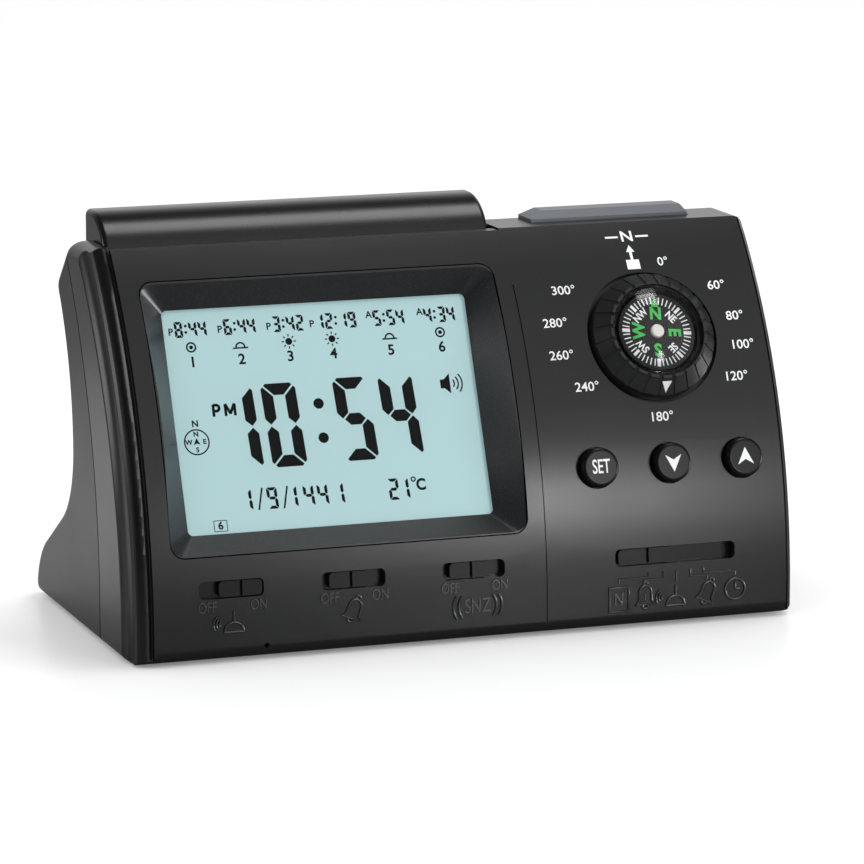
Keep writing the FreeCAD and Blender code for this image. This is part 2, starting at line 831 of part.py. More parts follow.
def face_cuts():
    """Openings and lines in the face and the top."""
    cuts = [
        plate("display_opening", screen,
              rounded(S["bezel_wide"] + S["bezel_gap"] * 2, S["bezel_tall"] + S["bezel_gap"] * 2,
                      S["bezel_round"] + S["bezel_gap"]), -12.0, 20.0),
        rod("dial_well_cut", dial, 0, 0, S["dial_well"], -S["dial_well_deep"], 8.0),
        rod("dial_hole", dial, 0, 0, S["cup_radius"] + 0.05, dial_boss_low - 1.0, 0),
        plate("key_opening", room,
              rounded(key_right - key_left + S["key_gap"] * 2,
                      S["key_rear"] - S["key_front"] + S["key_gap"] * 2, 1.2,
                      (key_right + key_left) / 2, back((S["key_rear"] + S["key_front"]) / 2)),
              top - S["wall"] - 1.0, top + 2.0),
        rod("pinhole", rearward, pinhole_x, -high(S["pinhole_height"]), 0.6, back(-1.0), back(4.0)),
        plate("mode_slot", switches,
              rounded(S["mode_slot_wide"], S["slot_tall"], S["slot_round"], mode_x), -5.0, 2.0),
    ]
    for number, (x, _) in enumerate(switch_places()):
        cuts.append(plate("slot_%d" % number, switches,
                          rounded(S["slot_wide"], S["slot_tall"], S["slot_round"], x), -5.0, 2.0))
    for number in (-1, 0, 1):
        cuts.append(rod("button_hole_%d" % (number + 1), buttons, S["button_pitch"] * number, 0,
                        S["button_hole"], -5.0, 3.0))
    divider = block("divider_block", room,
                    (divider_x - S["divider_width"] / 2, back(-1.0), high(S["divider_low"])),
                    (divider_x + S["divider_width"] / 2, back(40.0), high(S["divider_high"])))
    under = cross_rod("divider_floor", -wide_cut, wide_cut, face_centre_y, face_centre_z,
                      S["face_radius"] - S["divider_depth"])
    low_under = block("divider_foot", room, (-wide_cut, back(S["divider_depth"]), base),
                      (wide_cut, back(45.0), face_centre_z))
    cuts.append(cut("divider_line", divider, fuse("divider_core", under, low_under)))
    cuts.append(block("ledge", room, (-(half_width - S["column_left"]), back(30.0), top - S["ledge_drop"]),
                      (divider_x, back(S["bar_front"]), top + 1.0)))
    return cuts


def front_shell():
    shell = cut("case_shell_front", common("case_front", case_soft, front_region),
                *(columns + corners + [cavity]))
    posts = common("posts_inside", fuse("posts", *front_posts()), case_blank)
    whole = fuse("front_shell_blank", shell, posts)
    feet = [rod("front_pocket_%d" % number, room, x, back(S["foot_front_in"]), S["foot_radius"] + 0.05,
                base - 1.0, high(S["foot_pocket"])) for number, x in enumerate((-foot_x, foot_x))]
    return keep("front_shell", cut("front_shell", whole, bar_opening, *(face_cuts() + front_bores() + feet)))


# Rear shell

speaker_z = work_out("speaker_level", high(S["speaker_height"]))
speaker_drop = work_out("speaker_drop", S["speaker_height"] - S["waist_height"])
speaker_y = work_out("speaker_place", back(S["waist_back"]) + S["waist_radius"]
                     - root(S["waist_radius"] * S["waist_radius"] - speaker_drop * speaker_drop))
speaker_turn = work_out("speaker_turn", 180 + Size(
    math.degrees(math.asin(speaker_drop.value / S["waist_radius"].value)),
    "asin(%s / %s) / 1 deg" % (speaker_drop.text, S["waist_radius"].text)))
speaker = Frame(speaker_x, speaker_y, speaker_z, speaker_turn)
pivot_y = work_out("pivot_place", back(S["bar_rear"] - S["pivot_in"]))
pivot_z = work_out("pivot_level", top - S["pivot_drop"])
rail_places = (bar_left - S["bar_opening_gap"] - 2.0, bar_right + S["bar_opening_gap"])


def grille_cuts():
    """Level slots whose lengths fill a circle."""
    slots = []
    rows = int(S["grille_radius"].value // S["grille_pitch"].value)
    for row in range(-rows, rows + 1):
        up = S["grille_pitch"] * row
        half = root(S["grille_radius"] * S["grille_radius"] - up * up) + 0.6
        slots.append(block("grille_slot_%d" % (row + rows), speaker,
                           (-half, up - S["grille_slot"] / 2, -6.0), (half, up + S["grille_slot"] / 2, 9.0)))
    return slots


def bay_cuts():
    """The battery opening in the floor: a mouth, and a wider track above it for the door's lips."""
    mouth = S["door_wide"] / 2 + S["door_gap"]
    track = mouth + S["door_lip"]
    start = rear - S["door_in"] - S["door_gap"]
    end = rear + 2.0
    x = bay_x
    return [block("bay_mouth", room, (x - mouth, start, base - 1.0), (x + mouth, end, high(S["wall"]))),
            block("bay_track", room, (x - track, start, high(S["door_plate"])),
                  (x + track, end, high(S["wall"])))]


def rear_shell():
    shell = cut("case_shell_rear", common("case_rear", case_soft, rear_region), *(corners + [cavity]))
    rails = [block("hinge_rail_%d" % number, room, (x, pivot_y - 2.2, pivot_z - 3.4),
                   (x + 2.0, back(61.0), pivot_z + 1.4)) for number, x in enumerate(rail_places)]
    sleeves = [rod("sleeve_%d" % number, rearward, x, -high(S["case_screw_height"]), 3.9, back(38.2),
                   back(60.0))
               for number, x in enumerate((-case_screw_x, case_screw_x))]
    seat = cut("speaker_seat", rod("seat_outer", speaker, 0, 0, S["speaker_radius"] + 1.5, -S["wall"] - 0.4,
                                   9.0),
               rod("seat_inner", speaker, 0, 0, S["speaker_radius"] - 2.2, -8.0, 10.0))
    lugs = [rod("speaker_lug_%d" % number, speaker, x, up, S["post_radius"], -S["wall"] - 0.4, 9.0)
            for number, (x, up) in enumerate(speaker_screws())]
    inside = common("rear_fittings", fuse("rear_fittings_all", *(rails + sleeves + lugs + [seat])), case_blank)
    holes = [rod("sleeve_bore_%d" % number, rearward, x, -high(S["case_screw_height"]),
                 S["case_screw_radius"] + 0.3, back(37.0), back(62.0))
             for number, x in enumerate((-case_screw_x, case_screw_x))]
    holes += [rod("sleeve_sink_%d" % number, rearward, x, -high(S["case_screw_height"]),
                  S["case_screw_head"] + 0.3, back(42.0), back(64.0))
              for number, x in enumerate((-case_screw_x, case_screw_x))]
    holes += [rod("floor_hole_%d" % number, room, x, back(S["floor_screw_back"]),
                  S["case_screw_radius"] + 0.3, base - 1.0, high(3.0))
              for number, x in enumerate((-floor_screw_x, floor_screw_x))]
    holes += [rod("floor_sink_%d" % number, room, x, back(S["floor_screw_back"]),
                  S["case_screw_head"] + 0.3, base - 1.0, high(1.3))
              for number, x in enumerate((-floor_screw_x, floor_screw_x))]
    holes += [rod("rear_pocket_%d" % number, room, x, rear - S["foot_rear_in"], S["foot_radius"] + 0.05,
                  base - 1.0, high(S["foot_pocket"])) for number, x in enumerate((-foot_x, foot_x))]
    holes += [rod("speaker_bore_%d" % number, speaker, x, up, S["screw_radius"] + 0.03, -6.0, 1.3)
              for number, (x, up) in enumerate(speaker_screws())]
    opened = cut("rear_opened", shell, bar_opening)
    whole = fuse("rear_shell_blank", opened, inside)
    bore = cross_rod("rail_bore", rail_places[0] + 0.6, rail_places[1] + 1.5, pivot_y, pivot_z,
                     S["rod_radius"] + 0.02)
    return keep("rear_shell", cut("rear_shell", whole, bore, *(holes + grille_cuts() + bay_cuts())))


# Display

def bezel_funnel():
    """The four dished walls between the window and the rim, which follows the curved face."""
    reach = 12.0
    half_in = (S["screen_wide"] / 2, S["screen_tall"] / 2)
    half_out = (S["bezel_wide"] / 2 - S["bezel_rim"], S["bezel_tall"] / 2 - S["bezel_rim"])
    crown = S["face_radius"].value - math.sqrt(S["face_radius"].value ** 2 - half_out[1].value ** 2)
    deep_end = S["bezel_rise"].value
    deep_mid = deep_end + crown
    flare_x_end = (half_out[0] - half_in[0]).value * reach / deep_end
    flare_x_mid = (half_out[0] - half_in[0]).value * reach / deep_mid
    flare_y = (half_out[1] - half_in[1]).value * reach / deep_end
    in_x, in_y, in_r = half_in[0].value, half_in[1].value, S["screen_round"].value
    out_r = in_r + (S["bezel_round"].value - in_r) * reach / deep_end

    def loop(x_end, x_mid, y, radius, level):
        def corner(sx, sy):
            a = Vector(sx * (x_end - radius), sy * y, level)
            b = Vector(sx * (x_end - radius * (1 - math.sqrt(0.5))),
                       sy * (y - radius * (1 - math.sqrt(0.5))), level)
            c = Vector(sx * x_end, sy * (y - radius), level)
            return (a, b, c)
        edges = []
        for sx, sy in ((1, -1), (1, 1), (-1, 1), (-1, -1)):
            a, b, c = corner(sx, sy)
            edges.append(Part.Arc(a, b, c) if sx * sy < 0 else Part.Arc(c, b, a))
            if sx * sy < 0:
                other = corner(sx, -sy)[2]
                if x_mid == x_end:
                    edges.append(Part.LineSegment(c, other))
                else:
                    edges.append(Part.Arc(c, Vector(sx * x_mid, 0, level), other))
            else:
                edges.append(Part.LineSegment(a, corner(-sx, sy)[0]))
        return Part.Wire([edge.toShape() for edge in edges])

    inner = loop(in_x, in_x, in_y, in_r, 0.0)
    outer = loop(in_x + flare_x_end, in_x + flare_x_mid, in_y + flare_y, out_r, reach)
    funnel = doc.addObject("Part::Feature", "bezel_funnel")
    funnel.Shape = Part.makeLoft([inner, outer], True, True)
    screen.place(funnel, 0, 0, 0)
    return funnel


def lcd_bezel():
    blank = plate("bezel_bulk", screen, rounded(S["bezel_wide"], S["bezel_tall"], S["bezel_round"]),
                  -S["bezel_skirt"], 14.0)
    inside_face = cross_rod("face_cylinder", -wide_cut, wide_cut, face_centre_y, face_centre_z,
                            S["face_radius"])
    flush = common("bezel_flush", blank, inside_face)
    ears = []
    for number, (x, up) in enumerate(display_posts()):
        inner = S["bezel_wide"] / 2 - 1.0
        low, end = (x - 2.6, -inner) if x.value < 0 else (inner, x + 2.6)
        ears.append(block("bezel_ear_%d" % number, screen, (low, up - 3.0, ear_low),
                          (end, up + 3.0, ear_high)))
    bores = [rod("ear_bore_%d" % number, screen, x, up, S["screw_radius"] + 0.03, ear_low - 1.0,
                 ear_high + 1.0)
             for number, (x, up) in enumerate(display_posts())]
    pocket = plate("bezel_pocket", screen, rounded(S["stack_wide"], S["stack_tall"], 1.0),
                   -S["bezel_skirt"] - 1.0, 0)
    return keep("lcd_bezel", cut("lcd_bezel", fuse("bezel_eared", flush, *ears), bezel_funnel(), pocket,
                                 *bores))


def lcd_stack():
    lens_back = -S["lens_thick"]
    glass_back = lens_back - S["glass_thick"]
    holder_front = -S["bezel_skirt"]
    holder_back = holder_front - S["holder_thick"]
    play = 0.1
    pane = rounded(S["stack_wide"] - play * 2, S["stack_tall"] - play * 2, 0.9)
    keep("lcd_window", plate("lcd_window", screen, pane, lens_back, 0))
    keep("lcd_glass", plate("lcd_glass", screen, pane, glass_back, lens_back))
    light_tall = S["strip_offset"] * 2 - S["strip_width"] - 1.0
    keep("backlight_panel", plate("backlight_panel", screen, rounded(S["strip_length"], light_tall, 0.8),
                                  holder_front, glass_back))
    holder = plate("holder_plate", screen, rounded(S["bezel_wide"], S["bezel_tall"], S["bezel_round"]),
                   holder_back, holder_front)
    ears = []
    bores = []
    slots = []
    for number, (x, up) in enumerate(display_posts()):
        inner = S["bezel_wide"] / 2 - 1.0
        low, end = (x - 2.6, -inner) if x.value < 0 else (inner, x + 2.6)
        ears.append(block("holder_ear_%d" % number, screen, (low, up - 3.0, holder_back),
                          (end, up + 3.0, holder_front)))
        bores.append(rod("holder_bore_%d" % number, screen, x, up, S["screw_radius"] + 0.03,
                         holder_back - 1.0, holder_front + 1.0))
    board_front = -S["board_drop"]
    for number, (sx, sy) in enumerate(((-1, -1), (-1, 1), (1, -1), (1, 1))):
        x, up = S["standoff_x"] * sx, S["post_up"] * sy
        ears.append(rod("standoff_%d" % number, screen, x, up, S["post_radius"], board_front,
                        holder_front - 0.1))
        bores.append(rod("standoff_bore_%d" % number, screen, x, up, S["screw_radius"] + 0.03,
                         board_front - 1.0, board_front + 4.2))
    for number, sy in enumerate((-1, 1)):
        middle = S["strip_offset"] * sy
        half = S["strip_width"] / 2 + 0.2
        slots.append(block("holder_slot_%d" % number, screen,
                           (-S["strip_length"] / 2 - 0.2, middle - half, holder_back - 1.0),
                           (S["strip_length"] / 2 + 0.2, middle + half, holder_front + 1.0)))
    keep("lcd_holder", cut("lcd_holder", fuse("holder_eared", holder, *ears), *(bores + slots)))
    strips = [block("strip_%d" % number, screen,
                    (-S["strip_length"] / 2, S["strip_offset"] * sy - S["strip_width"] / 2, board_front),
                    (S["strip_length"] / 2, S["strip_offset"] * sy + S["strip_width"] / 2, glass_back))
              for number, sy in enumerate((-1, 1))]
    keep("zebra_strips", group("zebra_strips", strips))
    screws = [screw("display_screw_%d" % number, Frame(screen.x, screen.y, screen.z, screen.lean + 180),
                    x, -up, S["bezel_skirt"] + S["holder_thick"], S["screw_radius"], S["screw_head"],
                    S["screw_head_thick"], S["screw_length"] + 1.5)
              for number, (x, up) in enumerate(display_posts())]
    keep("display_screws", group("display_screws", screws))


def main_board():
    board_front = -S["board_drop"]
    board_back = board_front - S["board_thick"]
    board = plate("main_board_blank", screen, rounded(S["board_wide"], S["board_tall"], 1.5), board_back,
                  board_front)
    bores = [rod("board_bore_%d" % number, screen, S["standoff_x"] * sx, S["post_up"] * sy,
                 S["screw_radius"] + 0.1, board_back - 1.0, board_front + 1.0)
             for number, (sx, sy) in enumerate(((-1, -1), (-1, 1), (1, -1), (1, 1)))]
    keep("main_board", cut("main_board", board, *bores))
    chips = [block("chip_main", screen, (-10.0, -6.0, board_back - 2.0), (4.0, 8.0, board_back)),
             block("chip_voice", screen, (12.0, -4.0, board_back - 1.8), (22.0, 4.0, board_back)),
             block("chip_memory", screen, (-26.0, 2.0, board_back - 1.6), (-19.0, 7.0, board_back))]
    keep("board_chips", group("board_chips", chips))
    keep("quartz_can", block("quartz_can", screen, (-22.0, -14.0, board_back - 2.6),
                             (-12.0, -10.5, board_back)))
    keep("filter_capacitor", rod("filter_capacitor", screen, 18.0, 14.0, 3.0, board_back - 8.0, board_back))


# Slide switches

def slider(label, x, knob_wide, rest, slot_wide):
    """A knob in its slot, with the thin shutter behind the face and the stem that works the switch."""
    tall = S["slot_tall"] - S["knob_play"] * 2
    middle = x + rest
    shutter_out = -(S["wall"] + 0.3)
    shutter_in = shutter_out - S["shutter_thick"]
    margin = size(slot_wide) - knob_wide - S["knob_play"]
    shutter_half = knob_wide / 2 + margin
    cap = plate(label + "_cap", switches, rounded(knob_wide, tall, S["slot_round"] - 0.3, middle),
                shutter_out - 0.2,
                -S["knob_inset"])
    shutter = block(label + "_shutter", switches,
                    (middle - shutter_half, -(S["slot_tall"] / 2 + S["shutter_margin"]), shutter_in),
                    (middle + shutter_half, S["slot_tall"] / 2 + S["shutter_margin"], shutter_out))
    stem = block(label + "_stem", switches, (middle - S["stem"] / 2, -S["stem"] / 2, shutter_in - 2.2),
                 (middle + S["stem"] / 2, S["stem"] / 2, shutter_in + 0.1))
    middle_groove = block(label + "_groove", switches,
                          (middle - S["knob_groove"] / 2, -tall / 2 - 0.1, -S["knob_inset"] - 0.9),
                          (middle + S["knob_groove"] / 2, tall / 2 + 0.1, 1.0))
    return keep(label, cut(label, fuse(label + "_blank", cap, shutter, stem), middle_groove))


def switch_body(name, x, wide, middle, travel):
    """A switch on its board, with a channel for the knob's stem over the whole travel."""
    outer_face = switch_board_out + S["switch_body_deep"]
    body = block(name + "_case", switches, (x - wide / 2, -S["switch_body_tall"] / 2, switch_board_out),
                 (x + wide / 2, S["switch_body_tall"] / 2, outer_face))
    half = (S["stem"] + travel) / 2 + 0.4
    channel = block(name + "_channel", switches, (middle - half, -S["stem"] / 2 - 0.4, outer_face - 2.2),
                    (middle + half, S["stem"] / 2 + 0.4, outer_face + 1.0))
    return cut(name, body, channel)


def slide_switches():
    labels = ("azan_switch_knob", "alarm_switch_knob", "snooze_switch_knob")
    bodies = []
    for number, ((x, right), label) in enumerate(zip(switch_places(), labels)):
        right_stop = S["slot_wide"] / 2 - S["knob_play"] - S["knob_wide"] / 2
        rest = right_stop if right else right_stop - S["switch_travel"]
        slider(label, x, S["knob_wide"], rest, S["slot_wide"])
        bodies.append(switch_body("switch_body_%d" % number, x, S["switch_body_wide"],
                                  x + right_stop - S["switch_travel"] / 2, S["switch_travel"]))
    keep("switch_bodies", group("switch_bodies", bodies))
    mode_rest = -S["mode_travel"] / 2
    slider("mode_switch_knob", mode_x, S["mode_knob_wide"], mode_rest, S["mode_knob_wide"] + 13.2)
    keep("mode_switch_body", switch_body("mode_switch_body", mode_x, S["mode_body_wide"], mode_x,
                                         S["mode_travel"]))
    left, right = -(half_width - S["wall"] - 9.0), half_width - S["wall"] - 3.0
    board = block("switch_board_blank", switches,
                  (left, -S["switch_board_low"], switch_board_out - S["board_thick"]),
                  (right, S["switch_board_high"], switch_board_out))
    bores = [rod("switch_board_bore_%d" % number, switches, x, up, S["screw_radius"] + 0.1,
                 switch_board_out - 3.0, switch_board_out + 1.0)
             for number, (x, up) in enumerate(SWITCH_POSTS)]
    keep("switch_board", cut("switch_board", board, *bores))


# Push buttons

def tact(name, frame, across, up, board_face, direction):
    """A push switch on a board, with the hole that its plunger works in."""
    half = S["tact_wide"] / 2
    far = board_face + S["tact_tall"] * direction
    low, end = (board_face, far) if direction > 0 else (far, board_face)
    case = block(name + "_case", frame, (across - half, up - half, low), (across + half, up + half, end))
    deep = far - S["tact_hole_deep"] * direction
    hole_low, hole_end = (deep, far + 0.5) if direction > 0 else (far - 0.5, deep)
    return cut(name, case, rod(name + "_hole", frame, across, up, S["tact_hole"], hole_low, hole_end))


def push_buttons():
    tact_face = button_board_out + S["tact_tall"]
    stem_end = tact_face - 0.4
    flange_out = -(S["wall"] + 0.5)
    flange_in = flange_out - 1.1
    r = S["button_round"]
    for number, label in ((-1, "set_button"), (0, "down_button"), (1, "up_button")):
        x = S["button_pitch"] * number
        keep(label, turned(label, buttons, [
            (0, S["button_rise"]),
            (0, stem_end),
            (S["plunger_radius"], stem_end),
            (S["plunger_radius"], flange_in),
            (S["button_flange"], flange_in),
            (S["button_flange"], flange_out),
            (S["button_radius"], flange_out),
            (S["button_radius"], S["button_rise"] - r),
            (S["button_radius"] - r, S["button_rise"], r),
        ], x))
    tacts = [tact("button_tact_%d" % (number + 1), buttons, S["button_pitch"] * number, size(0),
                  button_board_out, 1)
             for number in (-1, 0, 1)]
    keep("button_switches", group("button_switches", tacts))
    board = block("button_board_blank", buttons, (-28.0, -8.0, button_board_out - S["board_thick"]),
                  (28.0, 8.0, button_board_out))
    bores = [rod("button_board_bore_%d" % number, buttons, x, up, S["screw_radius"] + 0.1,
                 button_board_out - 3.0, button_board_out + 1.0)
             for number, (x, up) in enumerate(BUTTON_POSTS)]
    keep("button_board", cut("button_board", board, *bores))


# Press bar and key on the top

def bar_section(inset):
    """The bar's side view; an inset gives its hollow."""
    crown_z = top + S["bar_rise"]
    centre_y = back(S["bar_crown"])
    centre_z = crown_z - S["bar_radius"]
    radius = S["bar_radius"] - inset
    front_y = back(S["bar_front"]) + inset
    reach = centre_y - front_y
    start_z = centre_z + root(radius * radius - reach * reach)
    low = top - S["bar_drop"]
    return centre_y, centre_z, radius, front_y, start_z, low


def top_bar():
    left, right = bar_left, bar_right
    centre_y, centre_z, radius, front_y, start_z, low = bar_section(size(0))
    rear_y = back(S["bar_rear"])
    crown_z = centre_z + radius
    rr = S["bar_rear_round"]
    outer = section("bar_side", [
        (front_y, low),
        (front_y, start_z),
        (centre_y, crown_z, -radius),
        (rear_y - rr, crown_z),
        (rear_y, crown_z - rr, -rr),
        (rear_y, low),
    ])
    solid = extrude("bar_bulk", outer, left, right)
    doc.recompute()
    ends = []
    for number, edge in enumerate(solid.Shape.Edges, 1):
        xs = [vertex.X for vertex in edge.Vertexes]
        same_end = max(xs) - min(xs) < 1e-6
        above = edge.BoundBox.ZMax > start_z.value + 0.5
        if same_end and above and edge.BoundBox.YMin < centre_y.value + 0.1:
            ends.append((number, S["bar_edge"].value, S["bar_edge"].value))
    soft = doc.addObject("Part::Fillet", "bar_soft")
    soft.Base = solid
    soft.Edges = ends
    seam_top = crown_z - rr - 0.4
    seam_foot = rear_y - 5.2
    behind = extrude("bar_behind", section("bar_seam", [
        (seam_foot, low - 1.0), (rear_y - 0.1, seam_top), (rear_y + 2.0, seam_top), (rear_y + 2.0, low - 1.0),
    ]), left - 2.0, right + 2.0)
    centre_y, centre_z, in_radius, in_front, in_start, low = bar_section(S["bar_wall"])
    hollow = extrude("bar_hollow", section("bar_hollow_side", [
        (in_front, low - 1.0),
        (in_front, in_start),
        (centre_y, centre_z + in_radius, -in_radius),
        (centre_y, low - 1.0),
    ]), left + S["bar_wall"], right - S["bar_wall"])
    press_y = back(S["bar_press_back"])
    press_reach = centre_y - press_y
    plunger = rod("bar_plunger", room, bar_press_x, press_y, S["plunger_radius"],
                  top_board_z + S["board_thick"] + S["tact_tall"] - 0.5,
                  centre_z + root(in_radius * in_radius - press_reach * press_reach) + 0.7)
    cover = cut("bar_cover_hollow", soft, behind, hollow)
    keep("top_bar_cover", fuse("top_bar_cover", cover, plunger))
    strip = common("bar_back_strip", soft, behind)
    lugs = [block("bar_skirt", room, (left + 0.3, rear_y - 1.4, pivot_z - 2.3),
                  (right - 0.3, rear_y, low + 0.5))]
    for number, x in enumerate((left + 0.5, right - 2.5)):
        lugs.append(block("bar_lug_%d" % number, room, (x, seam_foot + 0.7, pivot_z),
                          (x + 2.0, rear_y, low + 0.1)))
        lugs.append(cross_rod("bar_lug_eye_%d" % number, x, x + 2.0, pivot_y, pivot_z, S["rod_radius"] + 1.5))
    bore = cross_rod("bar_bore", left, right, pivot_y, pivot_z, S["rod_radius"] + 0.05)
    keep("top_bar_back", cut("top_bar_back", fuse("bar_back_blank", strip, *lugs), bore))
    keep("bar_hinge_rod", cross_rod("bar_hinge_rod", rail_places[0] + 0.9, rail_places[1] + 1.2, pivot_y,
                                    pivot_z,
                                    S["rod_radius"]))


def top_key():
    foot_z = top - S["wall"] - 0.4
    waist_z = top + S["key_rise"] - S["key_bevel_rise"]
    left, right = key_left, key_right
    front_y, rear_y = back(S["key_front"]), back(S["key_rear"])
    body = block("key_body", room, (left, front_y, foot_z - 1.2), (right, rear_y, waist_z))
    lip = block("key_lip", room, (left - 1.4, front_y, foot_z - 1.2), (right + 1.4, rear_y, foot_z))
    crown = doc.addObject("Part::Wedge", "key_crown")
    end, far, side = S["key_bevel_end"], S["key_bevel_far"], S["key_bevel_side"]
    wide, deep = right - left, rear_y - front_y
    for prop, value in (("Xmin", 0), ("Xmax", wide), ("X2min", end), ("X2max", wide - far),
                        ("Zmin", 0), ("Zmax", deep), ("Z2min", side), ("Z2max", deep - side),
                        ("Ymin", 0), ("Ymax", S["key_bevel_rise"])):
        bind(crown, prop, value)
    crown.Placement = Placement(Vector(left.value, rear_y.value, waist_z.value), Rotation(Vector(1, 0, 0), 90))
    crown.setExpression("Placement.Base.x", left.text)
    crown.setExpression("Placement.Base.y", rear_y.text)
    crown.setExpression("Placement.Base.z", waist_z.text)
    x = (left + right) / 2
    stem_low = top_board_z + S["board_thick"] + S["tact_tall"] - 0.5
    stem = rod("key_stem", room, x, (front_y + rear_y) / 2, S["plunger_radius"], stem_low, foot_z)
    keep("top_key", fuse("top_key", body, lip, crown, stem))
    board_low = top_board_z
    board_top = board_low + S["board_thick"]
    board = block("top_board_blank", room, (bar_press_x - 6.0, back(S["key_front"] - 0.3), board_low),
                  (key_right + 8.2, back(S["key_rear"] + 0.6), board_top))
    bores = [rod("top_board_bore_%d" % number, room, px, back(py), S["screw_radius"] + 0.1, board_low - 1.0,
                 board_top + 1.0) for number, (px, py) in enumerate(TOP_POSTS)]
    keep("top_board", cut("top_board", board, *bores))
    tacts = [tact("top_tact_bar", room, bar_press_x, back(S["bar_press_back"]), board_top, 1),
             tact("top_tact_key", room, x, (front_y + rear_y) / 2, board_top, 1)]
    keep("top_switches", group("top_switches", tacts))


# Compass dial

def compass():
    r = S["cup_radius"]
    inner = r - S["cup_wall"]
    low = -S["cup_deep"]
    flange_out = dial_boss_low
    flange_in = flange_out - 1.2
    cup_top = S["cup_top"]
    cup = turned("cup_blank", dial, [
        (0, low), (r, low), (r, flange_in), (S["cup_flange"], flange_in), (S["cup_flange"], flange_out),
        (r, flange_out), (r, cup_top), (inner, cup_top), (inner, low + 1.2), (0, low + 1.2),
    ])
    bores = [rod("cup_bore_%d" % number, dial, x, up, S["screw_radius"] + 0.1, flange_in - 0.5,
                 flange_out + 0.5)
             for number, (x, up) in enumerate(cup_screws())]
    keep("compass_cup", cut("compass_cup", cup, *bores))
    behind_dial = Frame(dial.x, dial.y, dial.z, dial.lean + 180)
    keep("compass_screws", group("compass_screws", [
        screw("compass_screw_%d" % number, behind_dial, x, -up, -flange_in, S["screw_radius"],
              S["cup_screw_head"],
              S["screw_head_thick"], size(2.9)) for number, (x, up) in enumerate(cup_screws())]))
    rise = S["crystal_rise"]
    seat = cup_top + 0.8
    dome = (r * r + rise * rise) / (rise * 2)
    t = S["crystal_thick"]
    inner_dome = dome - t
    inner_reach = inner - 0.4
    inner_z = seat + rise - dome + root(inner_dome * inner_dome - inner_reach * inner_reach)
    keep("compass_crystal", turned("compass_crystal", dial, [
        (r, cup_top), (r, seat), (0, seat + rise, dome), (0, seat + rise - t),
        (inner_reach, inner_z, -inner_dome), (inner_reach, cup_top),
    ]))
    card = S["card_height"]
    keep("compass_card", turned("compass_card", dial, [
        (S["hub_radius"] - 0.6, card - 0.5), (S["card_radius"], card - 0.5), (S["card_radius"], card),
        (S["hub_radius"] - 0.6, card),
    ]))
    hub = S["hub_radius"]
    keep("compass_hub", turned("compass_hub", dial, [
        (0.0, card - 0.2), (0.5, card - 1.4), (hub - 0.6, card - 1.4), (hub - 0.6, card), (hub, card),
        (hub, card + 0.5), (hub - 0.5, card + 1.0, 0.5), (0, card + 1.0),
    ]))
    bar = block("magnet_bar", dial, (-1.2, -7.0, card - 1.5), (1.2, 7.0, card - 0.5))
    keep("compass_magnet", cut("compass_magnet", bar, rod("magnet_hole", dial, 0, 0, hub - 0.6, card - 3.0,
                                                          card + 1.0)))
    keep("compass_pivot", turned("compass_pivot", dial, [
        (0, low + 1.2), (0.8, low + 1.2), (0.8, card - 3.0), (0.0, card - 0.5),
    ]))


def dial_ring():
    """The turning ring: a notched cone with a thin raised rim round the crystal."""
    inner = S["cup_radius"] + S["running"]
    rim_out = inner + S["dial_rim_wide"]
    low = -S["dial_well_deep"] + 0.3
    cone_top = S["dial_rim"] - 0.5
    blank = turned("dial_ring_blank", dial, [
        (inner, low), (S["dial_radius"], low), (S["dial_radius"], S["dial_edge"]),
        (rim_out, cone_top), (rim_out, S["dial_rim"] - 0.2), (rim_out - 0.2, S["dial_rim"]),
        (inner, S["dial_rim"]),
    ])
    slope = math.degrees(math.atan2(cone_top.value - S["dial_edge"].value,
                                    S["dial_radius"].value - rim_out.value))
    notches = []
    notch_top = S["dial_edge"].value - S["notch_deep"].value - 0.6 * math.tan(math.radians(slope))
    count = int(S["dial_notches"].value)
    for number in range(count):
        angle = 360.0 * (number + 0.5) / count
        notch = doc.addObject("Part::Box", "notch_%02d" % number)
        notch.Length = 7.0
        notch.Width = S["notch_wide"].value
        notch.Height = 3.0
        local = Placement(Vector(0, 0, 0), Rotation(Vector(0, 0, 1), angle))
        edge = Placement(Vector(S["dial_radius"].value + 0.6, -S["notch_wide"].value / 2, notch_top),
                         Rotation(Vector(0, 1, 0), 180 + slope))
        flip = Placement(Vector(0, S["notch_wide"].value, 0), Rotation(Vector(1, 0, 0), 180))
        world = Placement(Vector(dial.x.value, dial.y.value, dial.z.value),
                          Rotation(Vector(1, 0, 0), 90 - dial.lean.value))
        notch.Placement = world * local * edge * flip
        notches.append(notch)
    keep("dial_ring", cut("dial_ring", blank, *notches))


# Speaker

def speaker_parts():
    face = -(S["wall"] + 0.5)
    r = S["speaker_radius"]
    keep("speaker_frame", turned("speaker_frame", speaker, [
        (r, face), (r, face - 1.2), (r - 3.0, face - 1.2), (13.0, face - 7.0), (13.0, face - 8.5),
        (11.0, face - 8.5), (11.0, face - 6.2), (r - 3.6, face - 0.6), (r - 2.6, face - 0.6), (r - 2.6, face),
    ]))
    keep("speaker_cone", turned("speaker_cone", speaker, [
        (r - 2.7, face - 0.1), (r - 2.7, face - 0.5), (r - 4.4, face - 0.5), (5.0, face - 4.6), (0,
                                                                                                 face - 3.2),
        (0, face - 2.8), (5.0, face - 4.1), (r - 4.3, face - 0.1),
    ]))
    keep("speaker_magnet", rod("speaker_magnet", speaker, 0, 0, 13.5, face - 14.0, face - 8.5))
    behind = Frame(speaker.x, speaker.y, speaker.z, speaker.lean + 180)
    keep("speaker_screws", group("speaker_screws", [
        screw("speaker_screw_%d" % number, behind, x, -up, -(face - 1.2), S["screw_radius"], S["screw_head"],
              S["screw_head_thick"], S["screw_length"]) for number, (x, up) in enumerate(speaker_screws())]))


# Batteries

